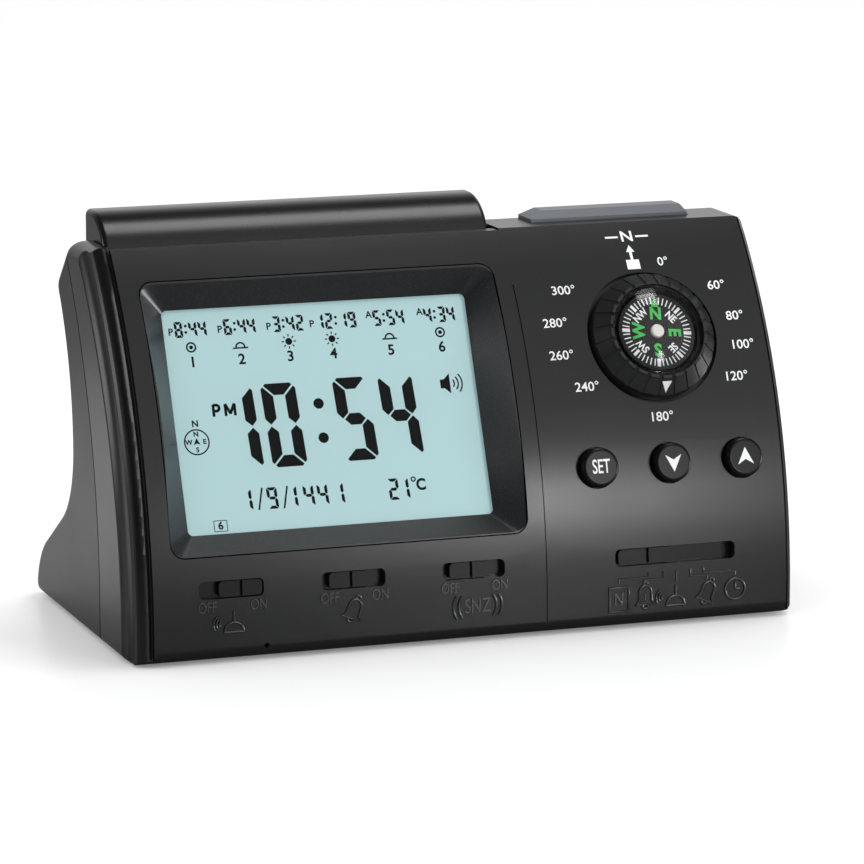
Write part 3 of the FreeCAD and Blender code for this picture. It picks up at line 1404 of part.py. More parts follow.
def batteries():
    x = bay_x
    half = S["bay_wide"] / 2
    low = high(S["wall"])
    start = (rear - S["cell_in"]) - S["cell_radius"] - 1.4
    end = (rear - S["cell_in"]) + S["cell_pitch"] + S["cell_radius"] + 1.2
    outer = block("tray_outer", room, (x - half, start, low), (x + half, end, low + 9.5))
    inner = block("tray_inner", room, (x - half + 1.2, start + 1.2, low - 1.0),
                  (x + half - 1.2, end - 1.0, low + 11.0))
    keep("battery_tray", common("battery_tray", cut("tray_frame", outer, inner), cavity))
    cell_left = x - S["cell_length"] / 2
    cell_right = x + S["cell_length"] / 2
    cells = []
    contacts = []
    z = high(S["cell_height"])
    for number in (0, 1):
        y = (rear - S["cell_in"]) + S["cell_pitch"] * number
        nub = 1.0
        tip_left = number == 1
        can_left = cell_left + nub if tip_left else cell_left
        can_right = cell_right if tip_left else cell_right - nub
        can = cross_rod("cell_can_%d" % number, can_left, can_right, y, z, S["cell_radius"])
        tip = cross_rod("cell_tip_%d" % number, cell_left if tip_left else can_right - 0.1,
                        can_left + 0.1 if tip_left else cell_right, y, z, size(2.6))
        cells.append(fuse("cell_%d" % number, can, tip))
        springy = cross_rod("contact_pad_%d" % number, cell_right if tip_left else x - half + 1.5,
                            x + half - 1.5 if tip_left else cell_left, y, z, size(3.0))
        flat_side = cross_rod("contact_rest_%d" % number, x - half + 1.5 if tip_left else cell_right,
                              cell_left if tip_left else x + half - 1.5, y, z, size(2.0))
        contacts += [springy, flat_side]
    first = (rear - S["cell_in"])
    second = first + S["cell_pitch"]
    plates = [
        fuse("contact_bridge", block("bridge_plate", room, (x - half + 1.2, first - 4.0, z - 4.0),
                                     (x - half + 1.6, second + 4.0, z + 2.0)), contacts[0], contacts[3]),
        fuse("contact_plus", block("plus_plate", room, (x + half - 1.6, first - 4.0, z - 4.0),
                                   (x + half - 1.2, first + 4.0, z + 2.0)), contacts[1]),
        fuse("contact_minus", block("minus_plate", room, (x + half - 1.6, second - 4.0, z - 4.0),
                                    (x + half - 1.2, second + 4.0, z + 2.0)), contacts[2]),
    ]
    keep("battery_cells", group("battery_cells", cells))
    keep("battery_contacts", group("battery_contacts", plates))


def battery_door():
    x = bay_x
    half = S["door_wide"] / 2
    start = rear - S["door_in"]
    end = rear + 1.0
    plate_top = high(S["wall"] - S["door_gap"])
    panel = block("door_panel", room, (x - half, start, base), (x + half, end, plate_top))
    lips = block("door_lips", room, (x - half - S["door_lip"], start, high(S["door_plate"] + S["door_gap"])),
                 (x + half + S["door_lip"], rear - S["shoulder_in"], plate_top))
    grips = [block("door_grip_%d" % number, room, (x - 9.0, start + 5.0 + number * 2.4, base - 1.0),
                   (x + 9.0, start + 6.2 + number * 2.4, high(0.4))) for number in range(5)]
    keep("battery_door", cut("battery_door", common("door_blank", fuse("door_sheet", panel, lips),
                                                    case_blank), *grips))


# Fasteners and feet

def fasteners():
    behind_screen = Frame(screen.x, screen.y, screen.z, screen.lean + 180)
    behind_switches = Frame(switches.x, switches.y, switches.z, switches.lean + 180)
    behind_buttons = Frame(buttons.x, buttons.y, buttons.z, buttons.lean + 180)
    under = Frame(0, 0, 0, 270.0)
    small = (S["screw_radius"], S["screw_head"], S["screw_head_thick"], S["screw_length"])
    screws = [screw("board_screw_%d" % number, behind_screen, S["standoff_x"] * sx, -S["post_up"] * sy,
                    S["board_drop"] + S["board_thick"], *small)
              for number, (sx, sy) in enumerate(((-1, -1), (-1, 1), (1, -1), (1, 1)))]
    screws += [screw("switch_screw_%d" % number, behind_switches, size(x), size(-up),
                     -switch_board_out + S["board_thick"], *small)
             for number, (x, up) in enumerate(SWITCH_POSTS)]
    screws += [screw("button_screw_%d" % number, behind_buttons, size(x), size(-up),
                     -button_board_out + S["board_thick"], *small)
             for number, (x, up) in enumerate(BUTTON_POSTS)]
    screws += [screw("top_screw_%d" % number, under, size(x), -back(y), -top_board_z, *small)
               for number, (x, y) in enumerate(TOP_POSTS)]
    keep("board_screws", group("board_screws", screws))
    big = (S["case_screw_radius"], S["case_screw_head"], size(1.1))
    case = [screw("case_screw_%d" % number, rearward, x, -high(S["case_screw_height"]), back(42.0), *big,
                  size(13.0))
            for number, x in enumerate((-case_screw_x, case_screw_x))]
    case += [screw("floor_screw_%d" % number, under, x, -back(S["floor_screw_back"]), -high(1.3), *big,
                   size(6.5))
             for number, x in enumerate((-floor_screw_x, floor_screw_x))]
    keep("case_screws", group("case_screws", case))
    feet = [rod("foot_%d_%d" % (side, row), room, foot_x * side, place, S["foot_radius"], 0,
                high(S["foot_pocket"]))
            for row, place in enumerate((back(S["foot_front_in"]),
                                         rear - S["foot_rear_in"])) for side in (-1, 1)]
    keep("rubber_feet", group("rubber_feet", feet))


front_shell()
rear_shell()
lcd_bezel()
lcd_stack()
main_board()
slide_switches()
push_buttons()
top_bar()
top_key()
compass()
dial_ring()
speaker_parts()
batteries()
battery_door()
fasteners()
doc.recompute()


def check_and_write():
    for thing in doc.Objects:
        if "Invalid" in thing.State or "Error" in thing.State:
            raise RuntimeError("%s failed: %s" % (thing.Name, thing.State))
    for piece in PARTS:
        if piece.Shape.isNull() or not piece.Shape.isValid() or not piece.Shape.Solids:
            raise RuntimeError("%s has no valid solid" % piece.Label)
    os.makedirs("parts", exist_ok=True)
    for piece in PARTS:
        piece.Shape.exportStep(os.path.join("parts", piece.Label + ".step"))


check_and_write()
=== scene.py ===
"""Looks for the leaning clock: materials, display, printed and moulded marks, studio and camera.

Lengths are in millimetres in this script's own values, and MM turns them into the frame's metres.
"""

import json
import math

import bmesh
import bpy
from mathutils import Matrix, Vector


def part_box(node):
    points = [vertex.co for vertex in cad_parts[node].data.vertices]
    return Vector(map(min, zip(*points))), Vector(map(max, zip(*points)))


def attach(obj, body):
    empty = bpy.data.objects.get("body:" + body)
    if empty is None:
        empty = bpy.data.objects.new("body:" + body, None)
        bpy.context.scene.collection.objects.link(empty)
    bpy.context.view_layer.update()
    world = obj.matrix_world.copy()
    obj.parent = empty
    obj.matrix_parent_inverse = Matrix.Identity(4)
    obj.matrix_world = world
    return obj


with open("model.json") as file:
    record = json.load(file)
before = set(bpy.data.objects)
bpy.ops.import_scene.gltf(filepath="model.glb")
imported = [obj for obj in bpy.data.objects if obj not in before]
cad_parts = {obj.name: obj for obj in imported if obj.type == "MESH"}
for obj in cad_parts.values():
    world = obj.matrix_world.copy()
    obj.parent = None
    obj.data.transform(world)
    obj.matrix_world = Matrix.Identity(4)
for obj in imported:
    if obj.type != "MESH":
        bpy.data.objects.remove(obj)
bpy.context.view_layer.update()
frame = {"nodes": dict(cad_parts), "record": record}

MM = 0.001

# The curved face of the case: its centre of curvature, back and up, and its radius
FACE_CENTRE_Y = 91.8
FACE_CENTRE_Z = 4.8
FACE_RADIUS = 134.0
FOOT_LIFT = 0.6

# The display in its recess
SCREEN_X = -30.0
SCREEN_HEIGHT = 54.3
SCREEN_RECESS = 9.8
SCREEN_LEAN = 23.0

# How far the face of the display stands out of its window's plane
GLASS_OUT = -1.0

# The right panel: the compass in its dial, and three buttons below it
PANEL_X = 52.3
DIAL_LEAN = 28.5
CARD_TURN = -6.0
CARD_TOP = 3.2
BUTTON_LEAN = 15.0
BUTTON_PITCH = 18.9
BUTTON_RISE = 2.9

# Three slide switches below the display, and one below the buttons
SWITCH_PITCH = 30.3
MODE_MARK_HEIGHT = 6.9

# Thickness of print, radius of a moulded bead, and the share of a font's size that a capital has
INK = 0.02
BEAD = 0.36
CAPITAL = 0.729


# Working planes

def plane(x, y, z, lean, turn=0.0):
    """A plane at a place in mm that leans back: local x runs across, y up along it, z out of it."""
    t = math.radians(lean)
    across = Vector((1, 0, 0))
    up = Vector((0, math.sin(t), math.cos(t)))
    out = Vector((0, -math.cos(t), math.sin(t)))
    basis = Matrix((across, up, out)).transposed().to_4x4()
    place = Matrix.Translation(Vector((x, y, z)) * MM) @ basis @ Matrix.Scale(MM, 4)
    return place @ Matrix.Rotation(math.radians(turn), 4, "Z")


def face_plane(x, lean, rise=0.0):
    """The plane that touches the curved face where it leans by this much, and rise further up it."""
    t = math.radians(lean) + rise / FACE_RADIUS
    y = FACE_CENTRE_Y - FACE_RADIUS * math.cos(t)
    z = FACE_CENTRE_Z + FACE_RADIUS * math.sin(t)
    return plane(x, y, z, math.degrees(t))


def face_at_height(x, height):
    """The same, by height above the underside of the case."""
    rise = height + FOOT_LIFT - FACE_CENTRE_Z
    return face_plane(x, math.degrees(math.asin(rise / FACE_RADIUS)))


def screen_plane():
    """The plane of the display window, set back from the curved face."""
    rise = SCREEN_HEIGHT - FACE_CENTRE_Z
    y = FACE_CENTRE_Y - math.sqrt(FACE_RADIUS ** 2 - rise ** 2) + SCREEN_RECESS
    return plane(SCREEN_X, y, SCREEN_HEIGHT, SCREEN_LEAN)


def shifted(base, across, up, out=0.0, turn=0.0):
    """A plane moved within itself, then turned in degrees."""
    return base @ Matrix.Translation((across, up, out)) @ Matrix.Rotation(math.radians(turn), 4, "Z")


def arc(x, y, radius, start, end, steps=16, squash=1.0):
    """Points of an arc in degrees."""
    angles = [math.radians(start + (end - start) * i / steps) for i in range(steps + 1)]
    return [(x + radius * math.cos(a), y + radius * squash * math.sin(a)) for a in angles]


# Drawing into meshes

class Drawing:
    """Collects flat shapes, beads and words in one mesh, then becomes a piece."""

    def __init__(self):
        self.bm = bmesh.new()

    def close(self, low, high):
        """Faces round two outlines with the same number of corners, one above the other."""
        base = [self.bm.verts.new(corner) for corner in low]
        cap = [self.bm.verts.new(corner) for corner in high]
        self.bm.faces.new(list(reversed(base)))
        self.bm.faces.new(cap)
        for i in range(len(base)):
            j = (i + 1) % len(base)
            self.bm.faces.new((base[i], base[j], cap[j], cap[i]))

    def prism(self, base, points):
        """A flat outline (anticlockwise) as thick as print."""
        self.close([base @ Vector((x, y, 0)) for x, y in points],
                   [base @ Vector((x, y, INK)) for x, y in points])

    def disc(self, base, x, y, radius, sides=32):
        """A round dot."""
        self.prism(base, arc(x, y, radius, 0, 360, sides)[:-1])

    def line(self, base, a, b, width):
        """A straight stroke with square ends, a little past both points."""
        along = Vector((b[0] - a[0], b[1] - a[1])).normalized() * (width / 2)
        side = Vector((-along.y, along.x))
        a, b = Vector(a) - along * 0.3, Vector(b) + along * 0.3
        self.prism(base, [a - side, b - side, b + side, a + side])

    def ring(self, base, x, y, radius, width, start=0.0, sweep=360.0, sides=40):
        """An arc or circle of even width, in short straight parts."""
        steps = max(3, int(sides * sweep / 360))
        inner = arc(x, y, radius - width / 2, start, start + sweep, steps)
        outer = arc(x, y, radius + width / 2, start, start + sweep, steps)
        for i in range(steps):
            self.prism(base, [inner[i], outer[i], outer[i + 1], inner[i + 1]])

    def curve(self, base, curve):
        """Adds the mesh that a curve or a line of text draws."""
        holder = bpy.data.objects.new("holder", curve)
        bpy.context.scene.collection.objects.link(holder)
        bpy.context.view_layer.update()
        evaluated = holder.evaluated_get(bpy.context.evaluated_depsgraph_get())
        mesh = bpy.data.meshes.new_from_object(evaluated)
        mesh.transform(base)
        self.bm.from_mesh(mesh)
        bpy.data.objects.remove(holder)
        bpy.data.curves.remove(curve)
        bpy.data.meshes.remove(mesh)

    def words(self, base, text, height, stretch=1.0, heavy=0.0, thick=INK, round_edge=0.0):
        """Words centred on a plane: height is that of a capital."""
        curve = bpy.data.curves.new("words", "FONT")
        curve.body = text
        curve.size = height / CAPITAL
        curve.align_x = "CENTER"
        curve.align_y = "CENTER"
        curve.offset = heavy
        curve.extrude = thick / 2
        curve.bevel_depth = round_edge
        curve.bevel_resolution = 1
        curve.resolution_u = 4
        wide = Matrix.Diagonal((stretch, 1, 1, 1))
        self.curve(base @ wide @ Matrix.Translation((0, 0, thick / 2)), curve)

    def bead(self, base, points, radius=BEAD, closed=False):
        """A raised round bead along a route, as moulded on the case."""
        curve = bpy.data.curves.new("bead", "CURVE")
        curve.dimensions = "3D"
        curve.bevel_depth = radius
        curve.bevel_resolution = 2
        spline = curve.splines.new("POLY")
        spline.points.add(len(points) - 1)
        for point, (x, y) in zip(spline.points, points):
            point.co = (x, y, 0, 1)
        spline.use_cyclic_u = closed
        self.curve(base, curve)

    def piece(self, name, body, material, slot):
        """Makes the mesh a piece that rides on a body."""
        bmesh.ops.recalc_face_normals(self.bm, faces=self.bm.faces[:])
        mesh = bpy.data.meshes.new(name)
        self.bm.to_mesh(mesh)
        self.bm.free()
        mesh.materials.append(material)
        made = bpy.data.objects.new(name, mesh)
        bpy.context.scene.collection.objects.link(made)
        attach(made, body)


# Shader nodes

def feed(tree, socket, value):
    """Sets a socket to a plain value, or links it to another node's output."""
    if isinstance(value, bpy.types.NodeSocket):
        tree.links.new(value, socket)
    else:
        socket.default_value = value


def maths(tree, operation, *values):
    """The result of one step of arithmetic."""
    made = tree.nodes.new("ShaderNodeMath")
    made.operation = operation
    for socket, value in zip(made.inputs, values):
        feed(tree, socket, value)
    return made.outputs[0]


def ramp(tree, source, start, end, first, last, smooth=True):
    """Turns a value between start and end into one between first and last, held beyond them."""
    made = tree.nodes.new("ShaderNodeMapRange")
    made.interpolation_type = "SMOOTHSTEP" if smooth else "LINEAR"
    for name, value in (("Value", source), ("From Min", start), ("From Max", end),
                        ("To Min", first), ("To Max", last)):
        feed(tree, made.inputs[name], value)
    return made.outputs["Result"]


def blend(tree, share, first, second):
    """A value between two."""
    made = tree.nodes.new("ShaderNodeMix")
    for name, value in (("Factor", share), ("A", first), ("B", second)):
        feed(tree, made.inputs[name], value)
    return made.outputs["Result"]


def noise(tree, place, scale, detail):
    """Noise over the object's own coordinates."""
    made = tree.nodes.new("ShaderNodeTexNoise")
    made.inputs["Detail"].default_value = detail
    tree.links.new(place, made.inputs["Vector"])
    feed(tree, made.inputs["Scale"], scale)
    return made.outputs["Fac"]


# Materials

def grain_group():
    """Moulded plastic: fine grain, brighter flecks, and a slow change of tone and gloss."""
    group = bpy.data.node_groups.new("moulded_grain", "ShaderNodeTree")
    new_socket = group.interface.new_socket
    new_socket("Colour", in_out="INPUT", socket_type="NodeSocketColor")
    for name in ("Scale", "Fleck", "Tone", "Depth", "Roughness", "Spread"):
        new_socket(name, in_out="INPUT", socket_type="NodeSocketFloat")
    new_socket("Colour", in_out="OUTPUT", socket_type="NodeSocketColor")
    new_socket("Roughness", in_out="OUTPUT", socket_type="NodeSocketFloat")
    new_socket("Normal", in_out="OUTPUT", socket_type="NodeSocketVector")
    links = group.links
    asked = group.nodes.new("NodeGroupInput").outputs
    given = group.nodes.new("NodeGroupOutput").inputs
    place = group.nodes.new("ShaderNodeTexCoord").outputs["Object"]
    fine = noise(group, place, asked["Scale"], 3.0)
    wide = noise(group, place, 45.0, 2.0)

    tone = maths(group, "MULTIPLY_ADD", maths(group, "SUBTRACT", wide, 0.5), asked["Tone"], 1.0)
    shade = group.nodes.new("ShaderNodeVectorMath")
    shade.operation = "SCALE"
    links.new(asked["Colour"], shade.inputs[0])
    links.new(tone, shade.inputs["Scale"])
    bright = ramp(group, fine, 0.60, 0.78, 0.0, 1.0, smooth=False)
    flecks = group.nodes.new("ShaderNodeMix")
    flecks.data_type = "RGBA"
    flecks.blend_type = "ADD"
    flecks.inputs["B"].default_value = (1, 1, 1, 1)
    links.new(maths(group, "MULTIPLY", bright, asked["Fleck"]), flecks.inputs["Factor"])
    links.new(shade.outputs[0], flecks.inputs["A"])
    links.new(flecks.outputs["Result"], given["Colour"])

    gloss = maths(group, "MULTIPLY_ADD", wide, asked["Spread"], asked["Roughness"])
    links.new(gloss, given["Roughness"])

    bump = group.nodes.new("ShaderNodeBump")
    bump.inputs["Distance"].default_value = 0.03 * MM
    links.new(fine, bump.inputs["Height"])
    links.new(asked["Depth"], bump.inputs["Strength"])
    links.new(bump.outputs["Normal"], given["Normal"])
    return group


GRAIN = grain_group()


def moulded(name, colour, rough, scale=3000.0, fleck=0.0, tone=0.3, depth=0.15, spread=0.06,
            metallic=0.0, shine=0.5, painted_glow=0.0):
    """A solid finish with the shared grain; the last argument is painted light of the finish's own
    colour, from no lamp.
    """
    made = bpy.data.materials.new(name)
    made.use_nodes = True
    tree = made.node_tree
    shader = tree.nodes["Principled BSDF"]
    shader.inputs["Metallic"].default_value = metallic
    shader.inputs["Specular IOR Level"].default_value = shine
    if painted_glow:
        shader.inputs["Emission Color"].default_value = (*colour, 1)
        shader.inputs["Emission Strength"].default_value = painted_glow
    grain = tree.nodes.new("ShaderNodeGroup")
    grain.node_tree = GRAIN
    for socket, value in (("Colour", (*colour, 1)), ("Scale", scale), ("Fleck", fleck), ("Tone", tone),
                          ("Depth", depth), ("Roughness", rough), ("Spread", spread)):
        grain.inputs[socket].default_value = value
    tree.links.new(grain.outputs["Colour"], shader.inputs["Base Color"])
    tree.links.new(grain.outputs["Roughness"], shader.inputs["Roughness"])
    tree.links.new(grain.outputs["Normal"], shader.inputs["Normal"])
    return made


def clear(name, colour, rough, index):
    """A thin clear skin: a mirror that shows only as much as its Fresnel share."""
    made = bpy.data.materials.new(name)
    made.use_nodes = True
    tree = made.node_tree
    shader = tree.nodes["Principled BSDF"]
    shader.inputs["Base Color"].default_value = (*colour, 1)
    shader.inputs["Metallic"].default_value = 1.0
    shader.inputs["Alpha"].default_value = 0.08
    haze = tree.nodes.new("ShaderNodeTexNoise")
    haze.inputs["Scale"].default_value = 60.0
    gloss = ramp(tree, haze.outputs["Fac"], 0.0, 1.0, rough, rough + 0.04, smooth=False)
    tree.links.new(gloss, shader.inputs["Roughness"])
    edge = tree.nodes.new("ShaderNodeFresnel")
    edge.inputs["IOR"].default_value = index
    tree.links.new(edge.outputs["Fac"], shader.inputs["Alpha"])
    return made


case_black = moulded("case_black", (0.004, 0.0042, 0.0048), 0.26, scale=5200, fleck=0.02, depth=0.22)
rear_black = moulded("rear_black", (0.006, 0.0062, 0.0066), 0.34, scale=2600, fleck=0.012, depth=0.45)
bezel_metallic = moulded("bezel_metallic", (0.022, 0.023, 0.025), 0.28, scale=4200, fleck=0.10,
                         depth=0.4, metallic=0.30)
bar_black = moulded("bar_black", (0.004, 0.0042, 0.0046), 0.24, scale=5200, fleck=0.02, depth=0.12)
key_slate = moulded("key_slate", (0.085, 0.096, 0.115), 0.34, scale=4200, fleck=0.05, depth=0.2)
knob_black = moulded("knob_black", (0.003, 0.003, 0.0034), 0.20, scale=2600, depth=0.08, shine=0.4)
button_black = moulded("button_black", (0.003, 0.003, 0.0033), 0.26, scale=3600, depth=0.12, shine=0.25)
ring_black = moulded("ring_black", (0.012, 0.0124, 0.013), 0.34, scale=4200, fleck=0.02, depth=0.15)
card_black = moulded("card_black", (0.002, 0.002, 0.0022), 0.45, scale=3000, depth=0.1)
cup_black = moulded("cup_black", (0.002, 0.002, 0.002), 0.5, scale=1800, depth=0.2)
white_print = moulded("white_print", (0.86, 0.87, 0.87), 0.5, scale=9000, depth=0.1)
green_print = moulded("green_print", (0.05, 0.50, 0.09), 0.5, scale=9000, depth=0.1)
# The display's glass glows faintly in its own colour: painted light that brightens it, though the
# display is no lamp
display_pale_painted_glow = moulded("display_pale_painted_glow", (0.39, 0.56, 0.575), 0.6, scale=1500, tone=0.04, depth=0.02,
                       spread=0.02, painted_glow=0.32)
display_ink = moulded("display_ink", (0.002, 0.0025, 0.003), 0.7, scale=1500, depth=0.02, shine=0.2)
clear_window = clear("clear_window", (0.9, 0.95, 0.95), 0.05, 1.16)
clear_dome = clear("clear_dome", (1.0, 1.0, 1.0), 0.08, 1.22)
mark_black = moulded("mark_black", (0.006, 0.006, 0.006), 0.24, scale=2600, depth=0.05, shine=1.0)
board_green = moulded("board_green", (0.01, 0.10, 0.035), 0.35, scale=900, depth=0.1)
grey_holder = moulded("grey_holder", (0.35, 0.35, 0.33), 0.55, scale=1600)
strip_pink = moulded("strip_pink", (0.55, 0.16, 0.20), 0.7, scale=2600, depth=0.3)
backlight_white = moulded("backlight_white", (0.8, 0.84, 0.86), 0.5, scale=1200)
zinc = moulded("zinc", (0.55, 0.55, 0.56), 0.34, scale=2600, depth=0.15, metallic=1.0)
nickel = moulded("nickel", (0.68, 0.66, 0.62), 0.22, scale=2600, depth=0.1, metallic=1.0)
brass_cap = moulded("brass_cap", (0.80, 0.78, 0.74), 0.30, scale=3000, depth=0.08, metallic=0.3)
chip_black = moulded("chip_black", (0.012, 0.012, 0.012), 0.55, scale=1800)
sleeve_blue = moulded("sleeve_blue", (0.01, 0.015, 0.05), 0.3, scale=1800)
paper_grey = moulded("paper_grey", (0.03, 0.03, 0.03), 0.85, scale=1400, depth=0.7)
ferrite = moulded("ferrite", (0.03, 0.03, 0.032), 0.6, scale=1200, depth=0.5)
cell_sleeve = moulded("cell_sleeve", (0.02, 0.03, 0.05), 0.3, scale=1500)
foot_rubber = moulded("foot_rubber", (0.012, 0.012, 0.012), 0.8, scale=1500, depth=0.4)

FINISHES = {
    "front_case": case_black, "rear_case": rear_black, "bezel": bezel_metallic,
    "clear_window": clear_window, "display_glass": display_pale_painted_glow, "backlight": backlight_white,
    "holder": grey_holder, "contact_rubber": strip_pink, "board": board_green, "chip": chip_black,
    "tin_can": nickel, "capacitor_sleeve": sleeve_blue, "screw": zinc, "switch_case": chip_black,
    "dark_knob": knob_black, "slate_key": key_slate, "dark_button": button_black,
    "dark_bar": bar_black, "bar_strip": rear_black, "rod": nickel, "compass_cup": cup_black,
    "crystal": clear_dome, "card": card_black, "brass_hub": brass_cap, "magnet": ferrite,
    "dial_paint": ring_black, "speaker_steel": chip_black, "speaker_paper": paper_grey,
    "tray": rear_black, "cell_sleeve": cell_sleeve, "contact_metal": nickel,
    "foot_rubber": foot_rubber,
}
slot_of = {part["node"]: part["material_slot"] for part in frame["record"]["subparts"]}
for node, shape in frame["nodes"].items():
    shape.data.materials.clear()
    shape.data.materials.append(FINISHES[slot_of[node]])


# Display

SEGMENTS = {
    "0": "abcdef", "1": "bc", "2": "abged", "3": "abgcd", "4": "fgbc", "5": "afgcd",
    "6": "afgedc", "7": "abc", "8": "abcdefg", "9": "abcdfg",
}
DIGIT_SLANT = -0.04


def segment_shapes(wide, tall, stroke, gap):
    """The seven outlines of a digit, about its middle."""
    w, h, s, g = wide / 2, tall / 2, stroke, gap / 2
    k = s * 0.36
    upright = [(-w, g + s * 0.5), (-w + s * 0.45, g), (-w + s, g + s * 0.5), (-w + s, h - s - g * 1.4),
               (-w + k * 0.5, h - k * 0.5 - g * 1.4), (-w, h - k - g * 1.4)]
    cross = [(w - k - g, h), (-w + k + g, h), (-w + k * 0.5 + g * 1.4, h - k * 0.5),
             (-w + s + g * 1.4, h - s), (w - s - g * 1.4, h - s), (w - k * 0.5 - g * 1.4, h - k * 0.5)]
    bar = [(-w + s * 0.5 + g * 1.4, 0), (-w + s + g, -s / 2), (w - s - g, -s / 2),
           (w - s * 0.5 - g * 1.4, 0), (w - s - g, s / 2), (-w + s + g, s / 2)]
    return {
        "f": upright, "b": [(-x, y) for x, y in reversed(upright)],
        "e": [(x, -y) for x, y in reversed(upright)], "c": [(-x, -y) for x, y in upright],
        "a": cross, "d": [(x, -y) for x, y in reversed(cross)], "g": bar,
    }


def digits(drawing, base, text, x, y, wide, tall, stroke, pitch, gap=None):
    """A run of digits from the middle of the first one; a colon takes half a place."""
    shapes = segment_shapes(wide, tall, stroke, stroke * 0.16 if gap is None else gap)
    for sign in text:
        if sign == ":":
            for level in (tall * 0.22, -tall * 0.18):
                dot_x = x - pitch * 0.25 - level * DIGIT_SLANT
                drawing.disc(base, dot_x, y + level, stroke * 0.52, sides=16)
            x += pitch * 0.5
            continue
        for name in SEGMENTS[sign]:
            drawing.prism(base, [(x + px + py * DIGIT_SLANT, y + py) for px, py in shapes[name]])
        x += pitch


def sun_mark(drawing, base, x, y, level, size):
    """A sun for one of the times: an open disc, a sun on the horizon, or a sun with rays."""
    radius = size * 0.32
    if level == 0:
        drawing.ring(base, x, y, radius, size * 0.12, sides=24)
        drawing.disc(base, x, y, radius * 0.45, sides=16)
    elif level == 1:
        drawing.ring(base, x, y - size * 0.2, radius, size * 0.12, start=0, sweep=180, sides=24)
        aside, ground = size * 0.55, y - size * 0.25
        drawing.line(base, (x - aside, ground), (x + aside, ground), size * 0.11)
    else:
        drawing.disc(base, x, y, radius * 0.8, sides=20)
        for i in range(8):
            a = math.radians(45 * i)
            drawing.line(base, (x + radius * 1.15 * math.cos(a), y + radius * 1.15 * math.sin(a)),
                         (x + radius * 1.6 * math.cos(a), y + radius * 1.6 * math.sin(a)), size * 0.09)


def small_times(drawing, glass):
    """Six alarm times along the top of the display, each with a mark and a number below."""
    times = (("P", "8:44", -34.2, 0), ("P", "6:44", -22.0, 1), ("P", "3:42", -9.8, 2),
             ("P", "12:19", 1.1, 2), ("A", "5:54", 15.7, 1), ("A", "4:34", 28.7, 0))
    for number, (half, text, start, sun) in enumerate(times, 1):
        level, drop = 22.7, -0.5 if half == "P" else 0.9
        drawing.words(shifted(glass, start - 2.0, level + drop), half, 1.75, heavy=0.05)
        digits(drawing, glass, text, start, level, 2.0, 3.9, 0.66, 2.36)
        middle = start + 2.6
        sun_mark(drawing, glass, middle, 18.3, sun, 3.4)
        drawing.words(shifted(glass, middle, 14.6), str(number), 2.6, heavy=0.09)


def half_day_mark(drawing, base):
    """The two letters that tell the half of the day, in heavy strokes."""
    stroke = 0.70
    drawing.line(base, (-2.75, -1.35), (-2.75, 1.35), stroke)
    drawing.ring(base, -2.0, 0.6, 0.72, stroke, start=-90, sweep=180, sides=24)
    for y in (-0.12, 1.32):
        drawing.line(base, (-2.65, y), (-2.0, y), stroke)
    drawing.line(base, (0.25, -1.35), (0.25, 1.35), stroke)
    drawing.line(base, (2.55, -1.35), (2.55, 1.35), stroke)
    drawing.line(base, (0.3, 1.4), (1.4, -0.9), stroke)
    drawing.line(base, (2.5, 1.4), (1.4, -0.9), stroke)


def display_marks():
    """All that the display shows: the time, the date, the warmth, and the marks round them."""
    glass = shifted(screen_plane(), 0, 0, GLASS_OUT)
    drawing = Drawing()
    big = dict(wide=8.7, tall=20.4, stroke=2.85, pitch=11.2, gap=0.42)
    digits(drawing, glass, "1", -21.9, -1.9, **big)
    digits(drawing, glass, "0", -11.1, -1.9, **big)
    digits(drawing, glass, "5", 7.0, -1.6, **big)
    digits(drawing, glass, "4", 18.5, -1.5, **big)
    for y in (2.7, -5.7):
        drawing.disc(glass, -1.7 - y * 0.02, y, 1.3)
    small_times(drawing, glass)
    half_day_mark(drawing, shifted(glass, -25.3, 2.6))
    low = dict(wide=2.6, tall=5.2, stroke=0.74, pitch=3.1)
    for text, x in (("1", -22.6), ("9", -16.2), ("1", -11.3), ("4", -7.1), ("4", -3.6), ("1", 0.4),
                    ("2", 14.3), ("1", 16.9)):
        digits(drawing, glass, text, x, -19.4, **low)
    for x in (-19.2, -12.9):
        drawing.line(glass, (x - 0.65, -22.0), (x + 0.65, -16.8), 0.42)
    drawing.ring(glass, 19.5, -17.3, 0.5, 0.34, sides=20)
    drawing.words(shifted(glass, 21.3, -18.8), "C", 2.8, stretch=0.9, heavy=0.14)
    drawing.ring(glass, -33.1, -4.7, 3.0, 0.34, sides=48)
    for text, dx, dy in (("N", 0, 1.9), ("S", 0, -1.9), ("W", -1.95, 0), ("E", 1.95, 0)):
        drawing.words(shifted(glass, -33.1 + dx, -4.7 + dy), text, 1.2, heavy=0.06)
    drawing.prism(glass, [(-33.95, -5.4), (-33.1, -5.0), (-32.25, -5.4), (-33.1, -3.7)])
    drawing.words(shifted(glass, -33.0, -0.3), "N", 1.6, heavy=0.07)
    drawing.prism(glass, [(29.6, 4.4), (30.6, 4.4), (32.1, 3.0), (32.1, 8.0), (30.6, 6.6), (29.6, 6.6)])
    for radius in (1.3, 2.3, 3.3):
        drawing.ring(glass, 31.9, 5.5, radius, 0.36, start=-42, sweep=84, sides=60)
    drawing.words(shifted(glass, -29.8, -25.2), "6", 1.9, heavy=0.08)
    frame_points = [(-31.4, -26.5), (-28.2, -26.5), (-28.2, -23.9), (-31.4, -23.9)]
    for i in range(4):
        drawing.line(glass, frame_points[i], frame_points[(i + 1) % 4], 0.18)
    drawing.piece("display_marks", "case", display_ink, "display_ink")


# Printed marks on the panel and the dial

